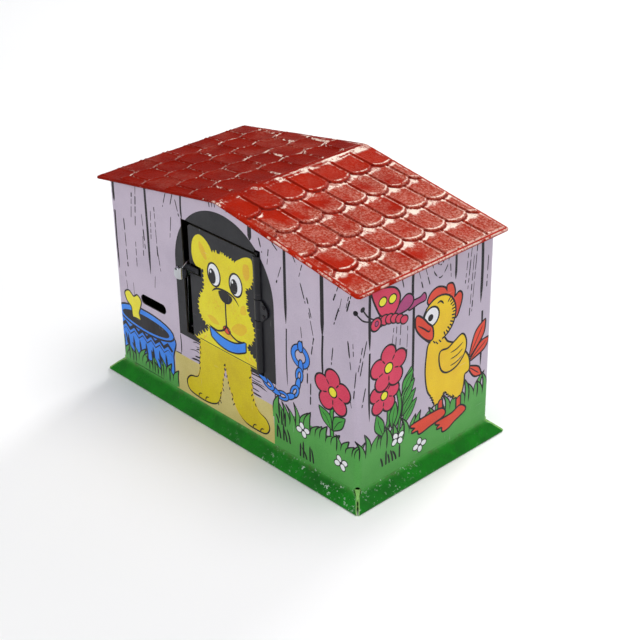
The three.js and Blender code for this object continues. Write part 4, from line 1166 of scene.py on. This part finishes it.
def roof():
    """One dense closed shell: embossed top, folded rim and a plain underside."""
    step = 0.5
    half, rows = round(ROOF_LENGTH / step), round(2 * ROOF_Y / step)
    wide = 2 * half + 1
    across, along = np.linspace(-ROOF_LENGTH, ROOF_LENGTH, wide), np.linspace(-ROOF_Y, ROOF_Y, rows + 1)
    v, y = np.meshgrid(across, along)
    height, painted_light_and_wear, rub = roof_surface(y, v)
    for i, (a, b) in enumerate(zip(y.flat, v.flat)):
        dents = 0.25 * noise.noise(Vector((a * 0.05, b * 0.05, 3)))
        height.flat[i] += dents + 0.06 * noise.noise(Vector((a * 0.5, b * 0.4, 9)))
    points = [roof_place(y, v, height)]
    faces = [(j * wide + i, j * wide + i + 1, (j + 1) * wide + i + 1, (j + 1) * wide + i)
        for j in range(rows) for i in range(wide - 1)]
    loop = [(0, i) for i in range(wide)] + [(j, wide - 1) for j in range(1, rows + 1)]
    loop += [(rows, i) for i in range(wide - 2, -1, -1)] + [(j, 0) for j in range(rows - 1, 0, -1)]
    ring = [j * wide + i for j, i in loop]
    looks = [0] * len(faces)
    edge_y, edge_v = (np.array([grid[j, i] for j, i in loop]) for grid in (y, v))
    first, count = len(points[0]), len(loop)
    for inset, depth, look in ((0.0, -ROOF_HEM - 0.5, 0), (3.2, -ROOF_HEM - 0.5, 0), (3.4, -1.2, 1)):
        shrunk = edge_y * (1 - inset / ROOF_Y), edge_v * (1 - inset / ROOF_LENGTH)
        points.append(roof_place(*shrunk, np.full(count, depth)))
        new_ring = list(range(first, first + count))
        first += count
        following = [(k + 1) % count for k in range(count)]
        faces += [(ring[k], new_ring[k], new_ring[m], ring[m]) for k, m in enumerate(following)]
        looks += [look] * count
        ring = new_ring
    front, back = (k for k, (j, i) in enumerate(loop) if i == half)
    faces.append(tuple(ring[front:back + 1])[::-1])
    faces.append(tuple(ring[back:] + ring[:front + 1])[::-1])
    points, looks = np.concatenate(points), looks + [1, 1]
    obj = new_object("roof_shell", points, faces, [RED, INSIDE], "roof_sheet", "roof_print", indices=looks)
    # The first attribute: painted highlight above 0 and painted shade below 0, with some wear.
    for key, grid in (("painted_light_and_wear", painted_light_and_wear), ("rub", rub)):
        values = np.zeros(len(points), dtype=np.float32)
        values[:grid.size] = grid.ravel()
        obj.data.attributes.new(key, "FLOAT", "POINT").data.foreach_set("value", values)


# ======== The door and its hinge ========
def knuckle(name, low, high, replaced, body):
    """A sheet edge rolled round the hinge pin, its seam on the inside."""
    roll = arc(HINGE_X, HINGE_Y, ROLL, 200, -140, 30)
    slab(name, bent(roll, -0.55), "z", low, high, INKS["arch"], replaced, "door_print", body, 0.12)


def door():
    art = Print()
    puppy(art)
    left, right, bottom, top = DOOR
    end, low, high = NOTCH
    cut, cut_low, cut_high = LEAF_GAP
    outline = [(left, bottom), (right, bottom), (right, cut_low), (cut, cut_low), (cut, cut_high),
        (right, cut_high), (right, top), (left + 1.2, top), (left, top - 1.2), (left, high), (end, high),
        (end, low), (left, low)]

    def place(u, v):
        return Vector((u, DOOR_FRONT, v)), Vector((0, -1, 0))

    printed_sheet("door_picture", outline, [], art, place, "arch", "door_plate", "door_print", "door")
    knuckle("door_roll_lower", bottom, cut_low, "door_plate", "door")
    knuckle("door_roll_upper", cut_high, top, "door_plate", "door")


def hinge():
    """The fixed leaf, a rounded ear with two rivets, its knuckle, and the pin through all three."""
    low, high, middle, ear_x = 74.5, 85.5, 80.0, 27.5
    ear = [(HINGE_X, low), (ear_x, low), *arc(27.2, middle, 4.3, -62, 62, 24), (ear_x, high),
        (HINGE_X, high)]
    slab("hinge_ear", ear, "y", -47.1, -46.3, INKS["arch"], "hinge_leaf", "door_print", round_off=0.3)
    knuckle("hinge_knuckle", 74.6, 85.4, "hinge_leaf", "house")
    for name, z in (("lower", middle - 2.4), ("upper", middle + 2.4)):
        domed_pin("ear_rivet_" + name, "y", (28.8, z), 0.7, 1.15, (-47.55, -44.7), 0.4, INKS["outline"],
            "hinge_rivet_" + name, "door_print")
    domed_pin("hinge_wire", "z", (HINGE_X, HINGE_Y), 0.7, 1.2, (44.4, 109.8), 0.7, INKS["arch"],
        "hinge_pin", "bright_tin")


# ======== The lever, its bracket and the coin chute ========
PIVOT_X, PIVOT_Z, LEVER_Y = -38.0, 33.0, -42.4
TAB_X, TAB_FRONT, TAB_LOW, TAB_HIGH = -27.5, -50.3, 78.5, 89.2
CURL, CURL_HIGH = 2.5, 84.8
NOSE = (-19.5, 82.4, 85.4)                       # its end, bottom and top


def lever():
    common = (POLISHED, "latch_lever", "bright_tin", "lever")
    arm_end, arm_low, arm_high, neck = -70, 30.2, 35.2, 76
    plate = [(arm_end, arm_low), (PIVOT_X - 3.2, arm_low), *arc(PIVOT_X, PIVOT_Z, 4.0, 225, 400, 16),
        (-35.4, 38), (-33.6, neck), (TAB_X, neck), (TAB_X, TAB_HIGH), (-36.4, TAB_HIGH), (-36.4, neck),
        (-41, 37), (-42.4, arm_high), (arm_end, arm_high)]
    slab("lever_plate", plate, "y", LEVER_Y, LEVER_Y + TIN, *common)
    tab = [(TAB_FRONT, TAB_LOW), (LEVER_Y + TIN, TAB_LOW), (LEVER_Y + TIN, TAB_HIGH), (LEVER_Y, TAB_HIGH),
        (TAB_FRONT, CURL_HIGH)]
    slab("lever_tab", tab, "x", TAB_X - TIN, TAB_X, *common)
    lever_curl(common)
    slab("lever_nose", rectangle(TAB_X - TIN, *NOSE), "y", DOOR_FRONT, DOOR_FRONT + TIN, INKS["arch"],
        *common[1:])
    paddle = [(LEVER_Y, arm_low + TIN), (-26, arm_low + TIN), *arc(-22.4, 31.8, 1.4, 270, 360, 8),
        (-21, 33)]
    slab("lever_paddle", bent(paddle), "x", arm_end, -48, *common)
    domed_pin("pivot_stud", "y", (PIVOT_X, PIVOT_Z), 1.3, 2.6, (-43.6, -34.2), 0.8, BRIGHT, "lever_pivot",
        "bright_tin")


def lever_curl(common):
    """The tab's end, rolled back on itself and drawn in at both ends into a smooth finger nub."""
    middle, half = (TAB_LOW + CURL_HIGH) / 2, (CURL_HIGH - TAB_LOW) / 2
    points, sides, tip = [], 24, 1.2
    stations = np.sin(np.linspace(-math.pi / 2, math.pi / 2, 15))
    for t in stations:
        radius = tip + (CURL - tip) * math.sqrt(1 - abs(t) ** 3)
        outer = arc(TAB_X - radius, TAB_FRONT, radius, 0, -235, sides)
        inner = arc(TAB_X - radius, TAB_FRONT, radius - 0.7, -235, 0, sides)
        points += [(x, y, middle + half * t) for x, y in outer + inner]
    ring = 2 * sides
    faces = [(a, d, c, b) for a, b, c, d in tube(len(stations), ring)]
    for first in (0, (len(stations) - 1) * ring):
        caps = [(first + k, first + k + 1, first + ring - 2 - k, first + ring - 1 - k)
            for k in range(sides - 1)]
        faces += caps if first == 0 else [face[::-1] for face in caps]
    new_object("lever_curl", points, faces, *[[common[0]], *common[1:]])


def chute():
    """A tin trough from the slot down to the lever's paddle."""
    common = (BRIGHT, "coin_chute", "bright_tin")
    front, back, start, end, top = -WALL_Y + TIN, -30, 46.6, 38.5, 57
    floor = [(front, start), (back, end), (back, end + TIN), (front, start + TIN)]
    slab("chute_floor", floor, "x", -72.6, -45.4, *common)
    cheek = [(front, start), (back, end), (back, end + 5), (front + 8, top), (front, top)]
    for side, x, ear in (("left", -72.6, -75.4), ("right", -46.2, -41.8)):
        slab(f"chute_cheek_{side}", cheek, "x", x, x + TIN, *common)
        slab(f"chute_ear_{side}", rectangle(min(x, ear), max(x, ear), start + TIN, top), "y", front, front
            + TIN, *common)


# ======== Stage: floor, light and camera ========
def lamp(name, place, size, power):
    """A rectangular softbox, aimed at the middle of the bank."""
    data = bpy.data.lights.new(name, "AREA")
    data.shape = "RECTANGLE"
    data.size, data.size_y = size
    data.energy = power
    obj = bpy.data.objects.new(name, data)
    obj.location = place
    aim = Vector((0, 0, 0.06)) - Vector(place)
    obj.rotation_euler = aim.to_track_quat("-Z", "Y").to_euler()
    bpy.context.scene.collection.objects.link(obj)


def stage():
    bpy.ops.mesh.primitive_plane_add(size=6, location=(0, 0, 0))
    floor = bpy.context.object
    floor.name = "floor"
    floor.data.materials.append(floor_material("floor_white"))
    scene = bpy.context.scene
    scene.view_settings.view_transform = "Standard"
    scene.world = bpy.data.worlds.new("studio")
    scene.world.use_nodes = True
    tree = scene.world.node_tree
    light, backdrop = tree.nodes["Background"], tree.nodes.new("ShaderNodeBackground")
    for background, strength in ((light, 0.25), (backdrop, 0.96)):
        background.inputs["Color"].default_value = (0.97, 0.98, 1.0, 1)
        background.inputs["Strength"].default_value = strength
    either, path_of_light = (tree.nodes.new(kind) for kind in ("ShaderNodeMixShader",
        "ShaderNodeLightPath"))
    tree.links.new(path_of_light.outputs["Is Camera Ray"], either.inputs[0])
    tree.links.new(light.outputs[0], either.inputs[1])
    tree.links.new(backdrop.outputs[0], either.inputs[2])
    tree.links.new(either.outputs[0], tree.nodes["World Output"].inputs["Surface"])
    lamp("softbox_top", (0.3, 0.3, 2.2), (1.5, 1.5), 30)
    lamp("softbox_back", (-0.35, 1.5, 0.85), (0.5, 0.35), 14)
    lamp("softbox_right", (1.5, 0.3, 1.0), (0.8, 0.8), 5.5)
    lamp("softbox_front", (-0.1, -2.0, 1.2), (0.8, 0.8), 16)


def camera():
    """The photographer's place: a long lens, looking down on the front right corner."""
    azimuth, elevation, roll = (math.radians(a) for a in (46.84, 28.56, -0.90))
    forward = Vector((-math.sin(azimuth) * math.cos(elevation), math.cos(azimuth) * math.cos(elevation),
        -math.sin(elevation)))
    data = bpy.data.cameras.new("camera")
    data.lens, data.sensor_width = 84.0, 36.0
    data.clip_start, data.clip_end = 0.01, 20
    obj = bpy.data.objects.new("camera", data)
    obj.location = Vector((496.2, -449.2, 411.0)) * MM
    level = forward.to_track_quat("-Z", "Y").to_matrix()
    obj.rotation_euler = (level @ Euler((0, 0, roll)).to_matrix()).to_euler()
    bpy.context.scene.collection.objects.link(obj)
    bpy.context.scene.camera = obj


def dress_frame():
    """Materials for the CAD nodes that stay in view."""
    looks = {"bright_tin": BRIGHT, "spring_steel": tin("steel_blued", "#70757e", 0.25, "#3f4148"),
        "lock_brass": tin("brass_plate", "#b89a55", 0.2, "#7a6434"), "base_print": GREEN}
    for row in frame["record"]["subparts"]:
        if row["material_slot"] in looks:
            for slot in frame["nodes"][row["node"]].material_slots:
                slot.material = looks[row["material_slot"]]


camera()
stage()
dress_frame()
walls()
skirt()
roof()
door()
hinge()
lever()
chute()
